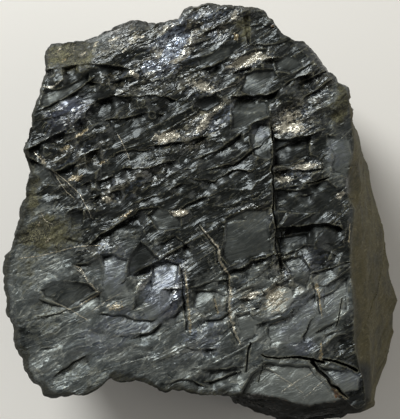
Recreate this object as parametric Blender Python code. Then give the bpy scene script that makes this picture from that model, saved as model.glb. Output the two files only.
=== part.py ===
"""Coal lump: one broken block of banded coal, lying on its broad flat parting face.

Run it with: blender --background --python part.py

The lump is one solid. Its upper side is a rough fracture face that cuts slantwise through the
coal bands, so the bands cross it as ledges, scars and splintered scales. One side wall is a
clean joint face that flares outwards, the others lean in, and the foot is a flat parting face.
Lengths below are in millimetres, with X to the right of the fracture face, Y up it and Z out
of it. The mesh is made in metres.
"""

import math

import bmesh
import bpy
import numpy as np

MM = 0.001
NODE_NAME = "coal_lump"

# Driving sizes of the block.
FACE_HEIGHT = 64.0  # from the foot to the middle of the fracture face
FACE_DOME = 0.0010  # how fast the fracture face falls away from its middle, per mm
COLLAR_DROP = 8.0  # depth over which the chipped rim turns into the plain walls
BELLY_HEIGHT = 20.0  # height at which the block is widest
HEEL_HEIGHT = 6.0  # height at which the walls turn under to the foot

# Bands: the trace of the bedding on the fracture face climbs to the right and steepens.
BED_SLOPE = 0.55
BED_BEND = 0.0032
BED_DIP = 0.40  # how far the bedding leans as it goes down into the block
BED_ANGLE = math.atan(BED_SLOPE)

# Mesh: a square grid stretched over the face and the foot, and rings for the walls.
GRID_STEPS = 132
WALL_RINGS = 42
FACE_BUDGET = 9200  # triangles left once the mesh has been thinned
CORNER_SHIFTS = (5.0, -2.0, -1.0, -5.7)  # turns the grid's corners onto the block's, degrees
STEP_RUN = 1.7  # width over which a ledge drops

# Rim of the fracture face, anticlockwise from the right.
RIM = [
    (42.0, 0.0), (41.0, 2.0), (39.5, 5.0), (39.8, 9.0), (41.0, 13.0), (42.0, 17.0), (41.8, 20.0),
    (41.3, 24.5), (41.0, 26.0), (40.5, 30.0), (40.0, 33.0), (37.0, 35.5), (35.0, 37.0),
    (33.0, 39.0), (32.0, 41.0), (30.5, 43.2), (28.0, 45.0), (25.0, 46.0), (22.0, 47.6),
    (20.3, 50.0), (18.5, 52.2), (17.0, 54.1), (14.0, 54.0), (12.5, 54.1), (10.0, 54.9),
    (4.0, 55.3), (-3.0, 55.0), (-4.0, 54.2), (-5.5, 52.0), (-7.0, 51.0), (-10.0, 50.0),
    (-14.0, 50.3), (-15.0, 51.2), (-18.0, 50.6), (-22.0, 49.5), (-27.0, 47.5), (-30.0, 46.0),
    (-35.0, 45.0), (-40.0, 44.0), (-41.1, 42.3), (-41.0, 40.0), (-41.5, 36.0), (-43.0, 33.0),
    (-44.0, 28.0), (-45.0, 24.5), (-46.0, 20.5), (-47.0, 18.0), (-46.9, 15.3), (-46.0, 12.5),
    (-45.7, 9.0), (-46.8, 5.0), (-48.0, 1.0), (-48.8, -2.0), (-49.4, -5.0), (-50.0, -8.5),
    (-51.0, -11.0), (-52.5, -12.5), (-52.8, -16.0), (-52.8, -20.0), (-52.5, -24.0),
    (-52.3, -28.0), (-51.0, -31.5), (-50.4, -34.0), (-50.0, -37.0), (-48.0, -40.0),
    (-47.3, -43.5), (-45.0, -47.3), (-42.0, -50.2), (-39.0, -51.2), (-36.0, -50.5),
    (-33.0, -50.5), (-30.0, -49.8), (-26.5, -47.6), (-24.0, -45.3), (-20.0, -46.3),
    (-15.0, -46.2), (-11.0, -48.5), (-9.0, -49.0), (-5.0, -48.8), (0.0, -49.8), (5.0, -49.5),
    (10.0, -49.6), (16.0, -49.8), (20.0, -50.5), (23.0, -51.2), (25.0, -52.1), (30.0, -53.0),
    (36.0, -52.0), (39.6, -51.6), (41.0, -53.2), (43.0, -54.6), (45.2, -53.6), (45.2, -50.0),
    (44.5, -46.0), (43.5, -43.0), (42.3, -38.0), (42.0, -34.0), (41.9, -28.0), (41.7, -22.0),
    (41.0, -17.0), (41.0, -8.0), (41.6, -4.0),
]
# The plain block just under the rim, at its widest, at its heel and on its foot.
COLLAR = [
    (44.0, 0.0), (43.0, 20.0), (40.5, 32.0), (31.0, 41.0), (19.0, 49.5), (4.0, 52.5),
    (-14.0, 48.0), (-38.0, 42.0), (-43.0, 28.0), (-45.5, 14.0), (-45.0, 6.0), (-48.5, -6.0),
    (-51.0, -16.0), (-50.5, -27.0), (-47.0, -38.0), (-40.5, -48.0), (-27.0, -46.0),
    (-15.0, -44.5), (0.0, -48.0), (12.0, -50.3), (22.0, -53.2), (40.0, -54.0), (46.5, -52.0),
    (46.0, -36.0), (45.0, -20.0),
]
BELLY = [
    (50.8, 0.0), (48.1, 9.5), (44.9, 21.2), (42.0, 29.0), (34.0, 37.0), (22.0, 44.0),
    (4.0, 50.0), (-16.0, 45.0), (-33.0, 40.0), (-39.0, 26.0), (-41.0, 10.0), (-45.5, -6.0),
    (-47.5, -20.0), (-44.0, -36.0), (-37.0, -44.5), (-24.0, -42.0), (-10.0, -44.0),
    (4.0, -48.0), (10.6, -52.6), (16.9, -57.1), (21.7, -58.9), (37.0, -58.7), (46.0, -58.0),
    (49.7, -56.0), (50.2, -51.0), (53.4, -43.0), (55.3, -34.0), (55.0, -29.6), (56.4, -26.0),
    (54.6, -20.0), (52.9, -9.5),
]
HEEL = [
    (48.0, 0.0), (45.0, 16.0), (38.0, 29.0), (27.0, 37.0), (7.0, 46.0), (-14.0, 43.5),
    (-30.0, 36.0), (-36.5, 20.0), (-40.0, 2.0), (-45.0, -14.0), (-43.0, -30.0),
    (-34.0, -40.0), (-20.0, -41.5), (-2.0, -44.0), (9.0, -49.0), (20.0, -56.0), (38.0, -55.5),
    (47.5, -50.0), (52.5, -37.0), (53.5, -24.0), (51.0, -10.0),
]
FOOT = [
    (42.0, 0.0), (37.0, 18.0), (20.0, 34.0), (2.0, 38.0), (-18.0, 36.0), (-29.0, 24.0),
    (-32.0, 6.0), (-38.0, -12.0), (-34.0, -29.0), (-22.0, -33.0), (-4.0, -35.0),
    (10.0, -43.0), (22.0, -49.0), (38.0, -46.0), (47.0, -34.0), (46.0, -16.0),
]

# Ledges: (points from left to right, drop on their lower side, run over which it recovers).
LEDGES = [
    ([(-42, 37.5), (-36, 38.3), (-30, 39.5), (-25, 39.2), (-20, 38)], 1.8, 5),
    ([(-42, 27.5), (-37, 30), (-33, 32.5), (-30, 35)], 1.1, 4),
    ([(-45.5, 17), (-40, 19.5), (-36, 21.5), (-32.5, 25), (-28, 29), (-24, 30.6), (-18, 30.6),
      (-12, 31), (-8, 30)], 1.8, 5),
    ([(-47, 14.5), (-43, 12), (-39, 10.5), (-34, 12.5), (-29, 15.5)], 1.4, 6),
    ([(-30, 7), (-26, 8.2), (-20, 10.8), (-14, 11.2), (-8, 13)], 1.1, 4),
    ([(-29, -9), (-26, -6.5), (-22, -4), (-18, -1.5)], 1.3, 4),
    ([(-3, 36.5), (2, 38), (6, 39.5), (9, 41.5)], 1.3, 4),
    ([(10, 37.5), (13, 38.8), (15, 39.8), (20, 40.5)], 1.5, 3),
    ([(11, 31), (15, 31), (20, 31.5), (25, 34.5), (28, 36)], 1.8, 5),
    ([(-12, 17.5), (-8, 18), (-3, 18.2), (1, 19.5)], 1.3, 4),
    ([(16, 10.8), (20, 11.3), (25, 11), (33, 10.8)], 1.5, 4),
    ([(22, -5.5), (28, -5), (33, -4.2), (37, -4), (40, -5.5)], 2.4, 6),
    ([(-8, -21.5), (-1, -21.3), (3, -20), (6.5, -19.3)], 1.1, 4),
    ([(8, -16.8), (11, -16), (14, -14), (18, -13.2), (20.5, -12.5)], 2.2, 5),
    ([(17, -31), (20, -30.2), (23, -29.5), (25, -28)], 1.1, 5),
    ([(-38, -44.5), (-35, -42), (-31, -40)], 0.9, 4),
    ([(-20, -19), (-17, -17), (-10, -13.5), (-4, -9.5)], 1.3, 4),
    ([(-16, -34.5), (-13, -33.5), (-10, -31), (-6, -28), (-5, -26.5)], 1.4, 5),
    ([(0, -43.2), (5, -43.5), (10, -43)], 1.2, 4),
]
# Scars: (middle, length, width, angle in degrees, depth) of the shells that have spalled off.
SCARS = [
    ((14.0, 40.5), 11, 5, 25, 1.5),
    ((1.0, 33.8), 8, 4, -20, 1.2),
    ((2.5, 28.3), 9, 5, 10, 2.2),
    ((-5.0, 20.5), 13, 4, 12, 1.2),
    ((4.5, 23.5), 10, 6, 42, 1.3),
    ((25.0, 25.0), 11, 10, 0, 1.9),
    ((29.0, 12.8), 8, 4, 5, 1.2),
    ((23.0, 9.5), 6, 4, -5, 1.1),
    ((16.0, -1.5), 9, 4, 35, 0.9),
    ((-34.0, -2.5), 6, 5, 60, 1.5),
    ((-35.5, -23.0), 16, 7, -8, 1.2),
    ((-7.0, 45.0), 12, 8, 50, 1.9),
    ((-17.0, 33.5), 12, 5, -8, 1.2),
    ((21.0, -24.5), 11, 8, 40, 1.2),
    ((35.0, 24.0), 9, 7, -30, 1.3),
    ((-13.5, -22.0), 12, 6, 50, 1.1),
    ((38.5, -37.0), 8, 6, 20, 1.2),
]
# Open cracks of the face: (points, width, depth).
CRACKS = [
    ([(18, -39.8), (22, -40), (27, -40.3), (30, -41), (33, -41.6)], 2.0, 2.6),
    ([(34.5, -40.9), (37, -41.2), (40, -42.5), (43, -43.8)], 2.0, 2.6),
    ([(30.8, -41.8), (32.5, -44.2), (35, -46.8), (38.5, -49.6)], 2.0, 3.0),
    ([(19.4, 24), (19.5, 12), (19.8, 2), (20.8, -8), (21.8, -17)], 2.2, 1.2),
]
# Broken shoulders: (a point on the edge, direction that falls away in degrees, slope).
SHOULDERS = [
    ((-27.0, 41.5), 112, 0.60),
    ((-46.5, 24.0), 172, 0.50),
    ((-50.5, -22.0), 187, 0.60),
    ((-46.0, -42.0), 222, 0.65),
    ((29.0, 42.0), 46, 0.75),
    ((37.5, 16.0), 8, 0.35),
    ((30.0, -49.5), 285, 0.30),
]


def outline_radius(points, angles):
    """Distance from the middle axis to a closed outline of straight runs, at each angle."""
    corners = np.array(points + points[:1], float)
    shares = np.linspace(0.0, 1.0, 60, endpoint=False)[None, :, None]
    runs = corners[:-1, None] + (corners[1:] - corners[:-1])[:, None] * shares
    x, y = runs.reshape(-1, 2).T
    around = np.arctan2(y, x)
    order = np.argsort(around)
    return np.interp(angles, around[order], np.hypot(x, y)[order], period=2 * math.pi)


def disc_of(steps):
    """A square grid stretched over any outline: each point's angle and share of the radius."""
    u = np.linspace(-1.0, 1.0, steps + 1)
    x, y = np.meshgrid(u, u)
    angles = np.arctan2(y, x)
    corners = np.radians([45, 135, 225, 315])
    angles += np.interp(angles, corners, np.radians(CORNER_SHIFTS), period=2 * math.pi)
    return angles, np.maximum(np.abs(x), np.abs(y))


def border_of(steps):
    """Indices of the grid's border, anticlockwise, as one loop of 4 * steps points."""
    index = np.arange((steps + 1) ** 2).reshape(steps + 1, steps + 1)
    sides = (index[0, :-1], index[:-1, -1], index[-1, :0:-1], index[:0:-1, 0])
    return np.concatenate(sides)


def random_cells(seed):
    """A block of seeded random numbers, seven for each cell, which repeats in space."""
    return np.random.default_rng(seed).random((24, 24, 24, 7))


def scooped(points, size, seed):
    """Shallow scoops that meet in sharp crests: 0 at their middles and about 1 at the crests.

    Each cell of a jittered grid holds one bowl with its own lean, and the lowest bowl counts."""
    cells = random_cells(seed)
    place = points / np.array(size)
    home = np.floor(place).astype(int)
    lowest = np.full(len(points), np.inf)
    for step in np.ndindex(3, 3, 3):
        cell = home + np.array(step) - 1
        chance = cells[tuple((cell % len(cells)).T)]
        away = place - cell - 0.15 - 0.7 * chance[:, :3]
        lean = ((chance[:, 3:6] - 0.5) * away).sum(1)
        bowl = (away**2).sum(1) + 0.9 * lean + 0.5 * chance[:, 6]
        lowest = np.minimum(lowest, bowl)
    return lowest


def along_polyline(x, y, points):
    """For each point: its distance to a polyline, its side (+1 to the left of the way it runs)
    and how far it lies beyond either end."""
    nearest = np.full(len(x), np.inf)
    side = np.zeros(len(x))
    beyond = np.zeros(len(x))
    line = np.array(points, float)
    last = len(line) - 2
    for i, (start, end) in enumerate(zip(line[:-1], line[1:], strict=True)):
        run = end - start
        length = math.hypot(*run)
        raw = ((x - start[0]) * run[0] + (y - start[1]) * run[1]) / length**2
        share = np.clip(raw, 0, 1)
        dx = x - start[0] - share * run[0]
        dy = y - start[1] - share * run[1]
        distance = np.hypot(dx, dy)
        closer = distance < nearest
        nearest = np.where(closer, distance, nearest)
        side = np.where(closer, np.sign(run[0] * dy - run[1] * dx), side)
        over = np.zeros(len(x))
        if i == 0:
            over = np.maximum(over, -raw * length)
        if i == last:
            over = np.maximum(over, (raw - 1) * length)
        beyond = np.where(closer, over, beyond)
    return nearest, side, beyond


def bed_coordinates(points):
    """Places measured along the bedding, across it and down into the block."""
    x, y, z = points.T
    across = y - BED_SLOPE * x - BED_BEND * x**2 + BED_DIP * (z - FACE_HEIGHT)
    along = x * math.cos(BED_ANGLE) + y * math.sin(BED_ANGLE)
    return np.stack([along, across * math.cos(BED_ANGLE), z], 1)


def band_relief(points):
    """Saw-tooth ledges where bands of unlike hardness come to the surface."""
    beds = bed_coordinates(points)
    rng = np.random.default_rng(4)
    edges = np.cumsum(rng.uniform(2.6, 7.0, 60)) - 130.0
    lean = rng.uniform(0.35, 1.0, 60) * np.where(rng.random(60) < 0.6, 1, -1)
    wander = scooped(beds, (26, 11, 26), 5) * 3.0
    across = beds[:, 1] + wander
    band = np.clip(np.searchsorted(edges, across) - 1, 0, 58)
    share = (across - edges[band]) / (edges[band + 1] - edges[band])
    share = np.minimum(share / 0.8, (1 - share) / 0.2)
    strength = np.clip(scooped(beds, (19, 9, 19), 6) * 1.5, 0, 1)
    return (share - 0.5) * lean[band] * strength


def roughness_of(x, y):
    """Share of the full relief: the lower left of the face is much calmer than the rest."""
    calm = 1 / (1 + np.exp((y + 12 + 0.45 * (x + 20)) / 4.0))
    return 1 - 0.65 * calm


def domed_face(x, y):
    """Height of the fracture face before anything has broken off it."""
    return FACE_HEIGHT - FACE_DOME * (x**2 + y**2)


def face_relief(x, y):
    """Height of the fracture face over its points, rim included."""
    z = domed_face(x, y)
    for (px, py), direction, slope in SHOULDERS:
        turn = math.radians(direction)
        beyond = (x - px) * math.cos(turn) + (y - py) * math.sin(turn)
        z = z - slope * np.maximum(beyond, 0)
    for (px, py), length, width, angle, depth in SCARS:
        turn = math.radians(angle)
        u = ((x - px) * math.cos(turn) + (y - py) * math.sin(turn)) / (length / 2)
        v = ((y - py) * math.cos(turn) - (x - px) * math.sin(turn)) / (width / 2)
        # The shell is deepest towards its upper edge and runs out at its lower one.
        z = z - depth * np.maximum(1 - u**2 - v**2, 0) * (1 + 0.6 * v)
    for points, drop, run in LEDGES:
        distance, side, beyond = along_polyline(x, y, points)
        fade = np.clip(1 - beyond / 2.5, 0, 1)
        below = -distance * side
        drops = drop * np.clip(0.5 + below / STEP_RUN, 0, 1)
        z = z - drops * np.exp(-np.maximum(below, 0) / run) * fade
    for points, width, depth in CRACKS:
        distance, _, beyond = along_polyline(x, y, points)
        fade = np.clip(1 - beyond / 2.0, 0, 1)
        z = z - depth * np.clip(1 - distance / (width / 2), 0, 1) * fade
    return z


def wall_sections(angles, rim_height):
    """The walls' corner lines from the rim down to the foot: (radius, height) at each angle."""
    return [
        (outline_radius(RIM, angles), rim_height),
        (outline_radius(COLLAR, angles), rim_height - COLLAR_DROP),
        (outline_radius(BELLY, angles), np.full_like(angles, BELLY_HEIGHT)),
        (outline_radius(HEEL, angles), np.full_like(angles, HEEL_HEIGHT)),
        (outline_radius(FOOT, angles), np.zeros_like(angles)),
    ]


def wall_points(angles, rim_height):
    """Rings of points down the walls, between the rim and the foot."""
    sections = wall_sections(angles, rim_height)
    levels = np.array([0.0, 0.14, 0.66, 0.86, 1.0])
    rings = []
    for share in np.linspace(0, 1, WALL_RINGS + 2)[1:-1]:
        part = np.searchsorted(levels, share, side="right") - 1
        blend = (share - levels[part]) / (levels[part + 1] - levels[part])
        (r0, z0), (r1, z1) = sections[part], sections[part + 1]
        radius = r0 + (r1 - r0) * blend
        height = z0 + (z1 - z0) * blend
        rings.append(np.stack([radius * np.cos(angles), radius * np.sin(angles), height], 1))
    return np.concatenate(rings)


def grid_faces(steps, flip):
    index = np.arange((steps + 1) ** 2).reshape(steps + 1, steps + 1)
    quads = np.stack([index[:-1, :-1], index[:-1, 1:], index[1:, 1:], index[1:, :-1]], -1)
    quads = quads.reshape(-1, 4)
    return quads[:, ::-1] if flip else quads


def block_points(height_of):
    """Points of the block: its face at the heights given, then the walls, then the foot."""
    angles, share = disc_of(GRID_STEPS)
    angles, share = angles.ravel(), share.ravel()
    rim = outline_radius(RIM, angles) * share
    top_x, top_y = rim * np.cos(angles), rim * np.sin(angles)
    top = np.stack([top_x, top_y, height_of(top_x, top_y)], 1)
    foot = outline_radius(FOOT, angles) * share
    base = np.stack([foot * np.cos(angles), foot * np.sin(angles), np.zeros_like(foot)], 1)
    border = border_of(GRID_STEPS)
    walls = wall_points(angles[border], top[border, 2])
    return np.concatenate([top, walls, base]), len(top)


def block_faces(count, top_count):
    """Four-sided faces that join the points of the face, the walls and the foot."""
    border = border_of(GRID_STEPS)
    around = len(border)
    rings = [border]
    rings += [top_count + around * k + np.arange(around) for k in range(WALL_RINGS)]
    rings.append(count - top_count + border)
    faces = [grid_faces(GRID_STEPS, False)]
    faces.append(grid_faces(GRID_STEPS, True) + count - top_count)
    for upper, lower in zip(rings[:-1], rings[1:], strict=True):
        faces.append(np.stack([upper, lower, np.roll(lower, -1), np.roll(upper, -1)], 1))
    return np.concatenate(faces)


def outward(points, faces):
    """Unit directions that point out of the mesh, averaged over the faces round each point."""
    across = points[faces[:, 2]] - points[faces[:, 0]]
    other = points[faces[:, 3]] - points[faces[:, 1]]
    normals = np.cross(across, other)
    total = np.zeros_like(points)
    for corner in range(4):
        np.add.at(total, faces[:, corner], normals)
    return total / np.maximum(np.linalg.norm(total, axis=1, keepdims=True), 1e-9)


def broken_block():
    """The block with the bands and the scoops of the fracture worked into all its sides."""
    smooth, top_count = block_points(domed_face)
    points, _ = block_points(face_relief)
    faces = block_faces(len(points), top_count)
    is_face = np.arange(len(points)) < top_count
    is_base = np.arange(len(points)) >= len(points) - top_count
    beds = bed_coordinates(points)
    coarse = scooped(beds, (17, 8, 15), 1) * 3.2
    medium = scooped(beds, (8, 3.6, 8), 2) * 1.3
    bands = band_relief(points) * 1.9
    share = np.where(is_face, roughness_of(points[:, 0], points[:, 1]), 0.9)
    # The clean joint face on the right is nearly flat.
    joint = np.clip((points[:, 0] - 41.0) / 3.0, 0, 1) * ~is_face
    share = share * (1 - 0.72 * joint)
    # The relief dies out at the foot, so that the parting face stays flat.
    share = share * np.clip(points[:, 2] / 5.0, 0, 1) * ~is_base
    depth = np.where(is_face, 0.55 * coarse + medium, coarse + medium)
    moved = points + outward(smooth, faces) * ((bands + depth - 1.6) * share)[:, None]
    moved[is_base, 2] = 0
    return moved, faces


def make_object(points, faces):
    """The lump as a Blender object, thinned to its budget of triangles and set on its origin."""
    middle = (points.max(0) + points.min(0)) / 2
    points = points - np.array([middle[0], middle[1], 0])
    mesh = bpy.data.meshes.new(NODE_NAME)
    mesh.from_pydata((points * MM).tolist(), [], faces.tolist())
    lump = bpy.data.objects.new(NODE_NAME, mesh)
    bpy.context.scene.collection.objects.link(lump)
    thin = lump.modifiers.new("Thin", "DECIMATE")
    thin.ratio = FACE_BUDGET / (2 * len(faces))
    thin.use_collapse_triangulate = True
    bpy.context.view_layer.update()
    graph = bpy.context.evaluated_depsgraph_get()
    lump.data = bpy.data.meshes.new_from_object(lump.evaluated_get(graph))
    lump.modifiers.clear()
    return lump


def settle(lump):
    """Seats the foot in one plane, cleans slivers and centres the lump over its origin."""
    work = bmesh.new()
    work.from_mesh(lump.data)
    bmesh.ops.dissolve_degenerate(work, dist=0.02 * MM, edges=work.edges)
    bmesh.ops.triangulate(work, faces=work.faces)
    flat = 0.03 * MM
    for vertex in work.verts:
        if vertex.co.z < flat:
            vertex.co.z = 0.0
    xs = [vertex.co.x for vertex in work.verts]
    ys = [vertex.co.y for vertex in work.verts]
    bmesh.ops.translate(
        work,
        vec=(-(max(xs) + min(xs)) / 2, -(max(ys) + min(ys)) / 2, 0),
        verts=work.verts,
    )
    bmesh.ops.recalc_face_normals(work, faces=work.faces)
    work.to_mesh(lump.data)
    work.free()
    lump.data.shade_smooth()
    lump.data.set_sharp_from_angle(angle=math.radians(24))


def coal_material():
    material = bpy.data.materials.new("coal")
    material.use_nodes = True
    shader = material.node_tree.nodes["Principled BSDF"]
    shader.inputs["Base Color"].default_value = (0.035, 0.036, 0.036, 1)
    shader.inputs["Roughness"].default_value = 0.34
    shader.inputs["Metallic"].default_value = 0.0
    shader.inputs["IOR"].default_value = 1.85
    return material


def main():
    for old in list(bpy.data.objects):
        bpy.data.objects.remove(old)
    points, faces = broken_block()
    lump = make_object(points, faces)
    settle(lump)
    lump.data.materials.clear()
    lump.data.materials.append(coal_material())


main()
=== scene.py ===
"""Coal lump: the full look of a broken block of banded coal, with its support, light and camera.

The block is made the way the solid model makes it, from nearly the same outlines and relief, and
then worked much finer: splinters, shells, grains and striae, smooth panes, open cracks and thin
mineral films. Lengths in the tables are millimetres, X to the right of the fracture face, Y up it
and Z out of it, and the meshes are made in metres.
"""

import math
from types import SimpleNamespace

import bpy
import numpy as np
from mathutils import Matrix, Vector


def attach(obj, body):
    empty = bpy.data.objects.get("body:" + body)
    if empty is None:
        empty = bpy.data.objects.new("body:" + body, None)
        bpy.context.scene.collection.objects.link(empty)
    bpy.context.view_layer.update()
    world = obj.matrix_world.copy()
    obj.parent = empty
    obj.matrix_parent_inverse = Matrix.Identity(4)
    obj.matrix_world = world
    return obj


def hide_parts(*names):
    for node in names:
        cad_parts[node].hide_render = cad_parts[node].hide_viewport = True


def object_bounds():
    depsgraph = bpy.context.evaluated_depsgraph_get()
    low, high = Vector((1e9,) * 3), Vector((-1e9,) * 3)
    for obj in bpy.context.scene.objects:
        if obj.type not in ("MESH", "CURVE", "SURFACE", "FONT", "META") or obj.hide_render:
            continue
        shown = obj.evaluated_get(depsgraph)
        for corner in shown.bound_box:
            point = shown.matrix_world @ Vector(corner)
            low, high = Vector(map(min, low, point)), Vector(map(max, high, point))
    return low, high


MM = 0.001
NODE_NAME = "coal_lump"

# Driving sizes of the block.
FACE_HEIGHT = 64.0  # from the foot to the middle of the fracture face
FACE_DOME = 0.0010  # how fast the fracture face falls away from its middle, per mm
COLLAR_DROP = 8.0  # depth over which the chipped rim turns into the plain walls
BELLY_HEIGHT = 20.0  # height at which the block is widest
HEEL_HEIGHT = 6.0  # height at which the walls turn under to the foot
JOINT_LINE = 40.0  # where the clean joint face begins on the right

# Bands: the trace of the bedding on the fracture face climbs to the right and steepens.
BED_SLOPE = 0.55
BED_BEND = 0.0032
BED_DIP = 0.40  # how far the bedding leans as it goes down into the block
BED_ANGLE = math.atan(BED_SLOPE)
BAND_COUNT = 60
BAND_WIDTHS = (2.6, 7.0)  # thinnest and thickest band
FIRST_BAND = -130.0  # where the first band lies, across the bedding
BAND_RISE = 0.88  # share of a band over which it climbs before it drops again

# Mesh: a square grid stretched over the face, and rings for the walls and the foot.
GRID_STEPS = 440
WALL_RINGS = 120
FOOT_RINGS = 5
CORNER_SHIFTS = (5.0, -2.0, -1.0, -5.7)  # turns the grid's corners onto the block's, degrees
WALL_LEVELS = (0.0, 0.14, 0.66, 0.86, 1.0)  # shares of the rings at rim, collar, belly, heel, foot
FACE_BUDGET = 196000  # triangles left once the mesh has been thinned
FACE_CARE = 0.0003  # how much longer the fracture face keeps its points than the walls do
SHARP_ANGLE = 25  # degrees past which an edge is shaded as sharp

# How the shapes of the face run out.
STEP_RUN = 0.45  # width over which a ledge drops
LEDGE_FADE = 2.5  # length over which a ledge dies out past its ends
CRACK_FADE = 0.8  # length over which a crack dies out past its ends
PANE_EDGE = 0.8  # width over which a smooth pane gives way to the broken coal round it
PANE_SAG = 0.12  # how far a pane bulges, as a share of its reach
PANE_DEPTH = 0.75  # how fully a pane levels what lies under it
WALL_TURN = 9.0  # depth over which the relief of the face turns into the walls' coarser one
FOOT_TURN = 5.0  # height over which the relief dies out towards the foot

# Wandering of the shapes, as octaves of (size, reach, seed).
RELIEF_SWAY = [(16.0, 4.0, 31), (6.0, 1.3, 34), (2.4, 0.3, 37)]
PANE_SWAY = [(7.0, 0.8, 51), (2.4, 0.35, 54)]
LEDGE_SWAY = [(5.0, 0.5, 57), (1.8, 0.25, 60)]
# Scoops broken out of the coal: (cell along the bedding, across and down, seed, how hollow, how
# much each one leans, how much they all lean one way, depth). Below 0 they stand out as pillows.
SCOOPS = {
    "coarse": ((17, 8, 15), 1, 1.0, 0.9, 0.0, 3.2),
    "medium": ((9, 4, 9), 2, 1.0, 0.9, 0.0, 1.5),
    "shells": ((9.0, 2.8, 7.0), 3, 0.7, 1.5, -0.3, 0.8),
    "pillows": ((7.0, 2.0, 5.0), 7, 0.6, 1.6, -0.5, -0.5),
    "chips": ((4.2, 1.1, 3.0), 11, 0.6, 1.5, 0.3, 0.4),
    "flakes": ((2.6, 0.8, 1.9), 12, 0.6, 1.6, -0.4, -0.22),
    "striae": ((6, 0.9, 6), 13, 1.0, 0.9, 0.0, 0.08),
}
# Bites out of the rim, deepest where two scoops meet: (size, seed, depth).
RIM_BITES = [(3.4, 15, 1.1), (1.5, 16, 0.5)]
RIM_SWELL = 1.35  # how far the rim reaches past its outline before the bites are taken away
RIM_BEVEL = (0.8, 2.4, 3.6, 66)  # mean width of the rounded rim, and how it varies: reach, size, seed

# Rim of the fracture face, anticlockwise from the right.
RIM = [
    (42, 0), (41, 2), (39.5, 5), (39.8, 9), (41, 13), (42, 17), (41.8, 20), (41.3, 24.5), (41, 26),
    (40.5, 30), (40, 33), (37, 35.5), (35, 37), (33, 39), (32, 41), (30.5, 43.2), (28, 45),
    (25, 46), (22, 47.6), (20.3, 50), (18.5, 52.2), (17, 54.1), (14, 54), (12.5, 54.1), (10, 54.9),
    (4, 55.3), (-3, 55), (-4, 54.2), (-5.5, 52), (-7, 51), (-10, 50), (-14, 50.3), (-15, 51.2),
    (-18, 50.6), (-22, 49.5), (-27, 47.5), (-30, 46), (-35, 45.6), (-40.6, 45.2), (-42, 43.2),
    (-41.6, 40), (-41.5, 36), (-43, 33), (-44, 28), (-45, 24.5), (-46, 20.5), (-47, 18),
    (-46.9, 15.3), (-46, 12.5), (-45.7, 9), (-46.8, 5), (-48, 1), (-48.8, -2), (-49.4, -5),
    (-50, -8.5), (-51, -11), (-52.5, -12.5), (-52.8, -16), (-52.8, -20), (-52.5, -24), (-52.3, -28),
    (-51, -31.5), (-50.4, -34), (-50, -37), (-48, -40), (-47.3, -43.5), (-45, -47.3), (-42, -50.2),
    (-39, -51.2), (-36, -50.5), (-33, -50.5), (-30, -49.8), (-26.5, -47.6), (-24, -45.3),
    (-20, -46.3), (-15, -46.2), (-11, -48.5), (-9, -49), (-5, -48.8), (0, -49.8), (5, -49.5),
    (10, -49.6), (16, -49.8), (20, -50.5), (23, -51.2), (25, -52.1), (30, -53), (36, -52),
    (39.6, -51.6), (41, -53.2), (43, -54.6), (45.2, -53.6), (45.2, -50), (44.5, -46), (43.5, -43),
    (42.3, -38), (42, -34), (41.9, -28), (41.7, -22), (41, -17), (41, -8), (41.6, -4),
]

# The plain block just under the rim, at its widest, at its heel and on its foot.
COLLAR = [
    (44, 0), (43, 20), (39, 31), (29.5, 40), (19, 48.5), (4, 52), (-14, 47.5), (-38, 42), (-42, 28),
    (-44, 14), (-44, 6), (-47.5, -6), (-51, -16), (-50.5, -27), (-47, -38), (-40.5, -48),
    (-27, -46), (-15, -44.5), (0, -48), (12, -50.3), (22, -53.2), (40, -54), (46.5, -52), (46, -36),
    (45, -20),
]
BELLY = [
    (50.8, 0), (48.1, 9.5), (44.9, 21.2), (42, 29), (34, 37), (22, 44), (4, 50), (-16, 45),
    (-33, 40), (-39, 26), (-41, 10), (-45.5, -6), (-47.5, -20), (-44, -36), (-37, -44.5),
    (-24, -42), (-10, -44), (4, -48), (10.6, -52.6), (16.9, -57.1), (21.7, -58.9), (37, -58.7),
    (46, -58), (49.7, -56), (50.2, -51), (53.4, -43), (55.3, -34), (55, -29.6), (56.4, -26),
    (54.6, -20), (52.9, -9.5),
]
HEEL = [
    (48, 0), (45, 16), (38, 29), (27, 37), (7, 46), (-14, 43.5), (-30, 36), (-36.5, 20), (-40, 2),
    (-45, -14), (-43, -30), (-34, -40), (-20, -41.5), (-2, -44), (9, -49), (20, -56), (38, -55.5),
    (47.5, -50), (52.5, -37), (53.5, -24), (51, -10),
]
FOOT = [
    (42, 0), (37, 18), (20, 34), (2, 38), (-18, 36), (-29, 24), (-32, 6), (-38, -12), (-34, -29),
    (-22, -33), (-4, -35), (10, -43), (22, -49), (38, -46), (47, -34), (46, -16),
]

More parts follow.
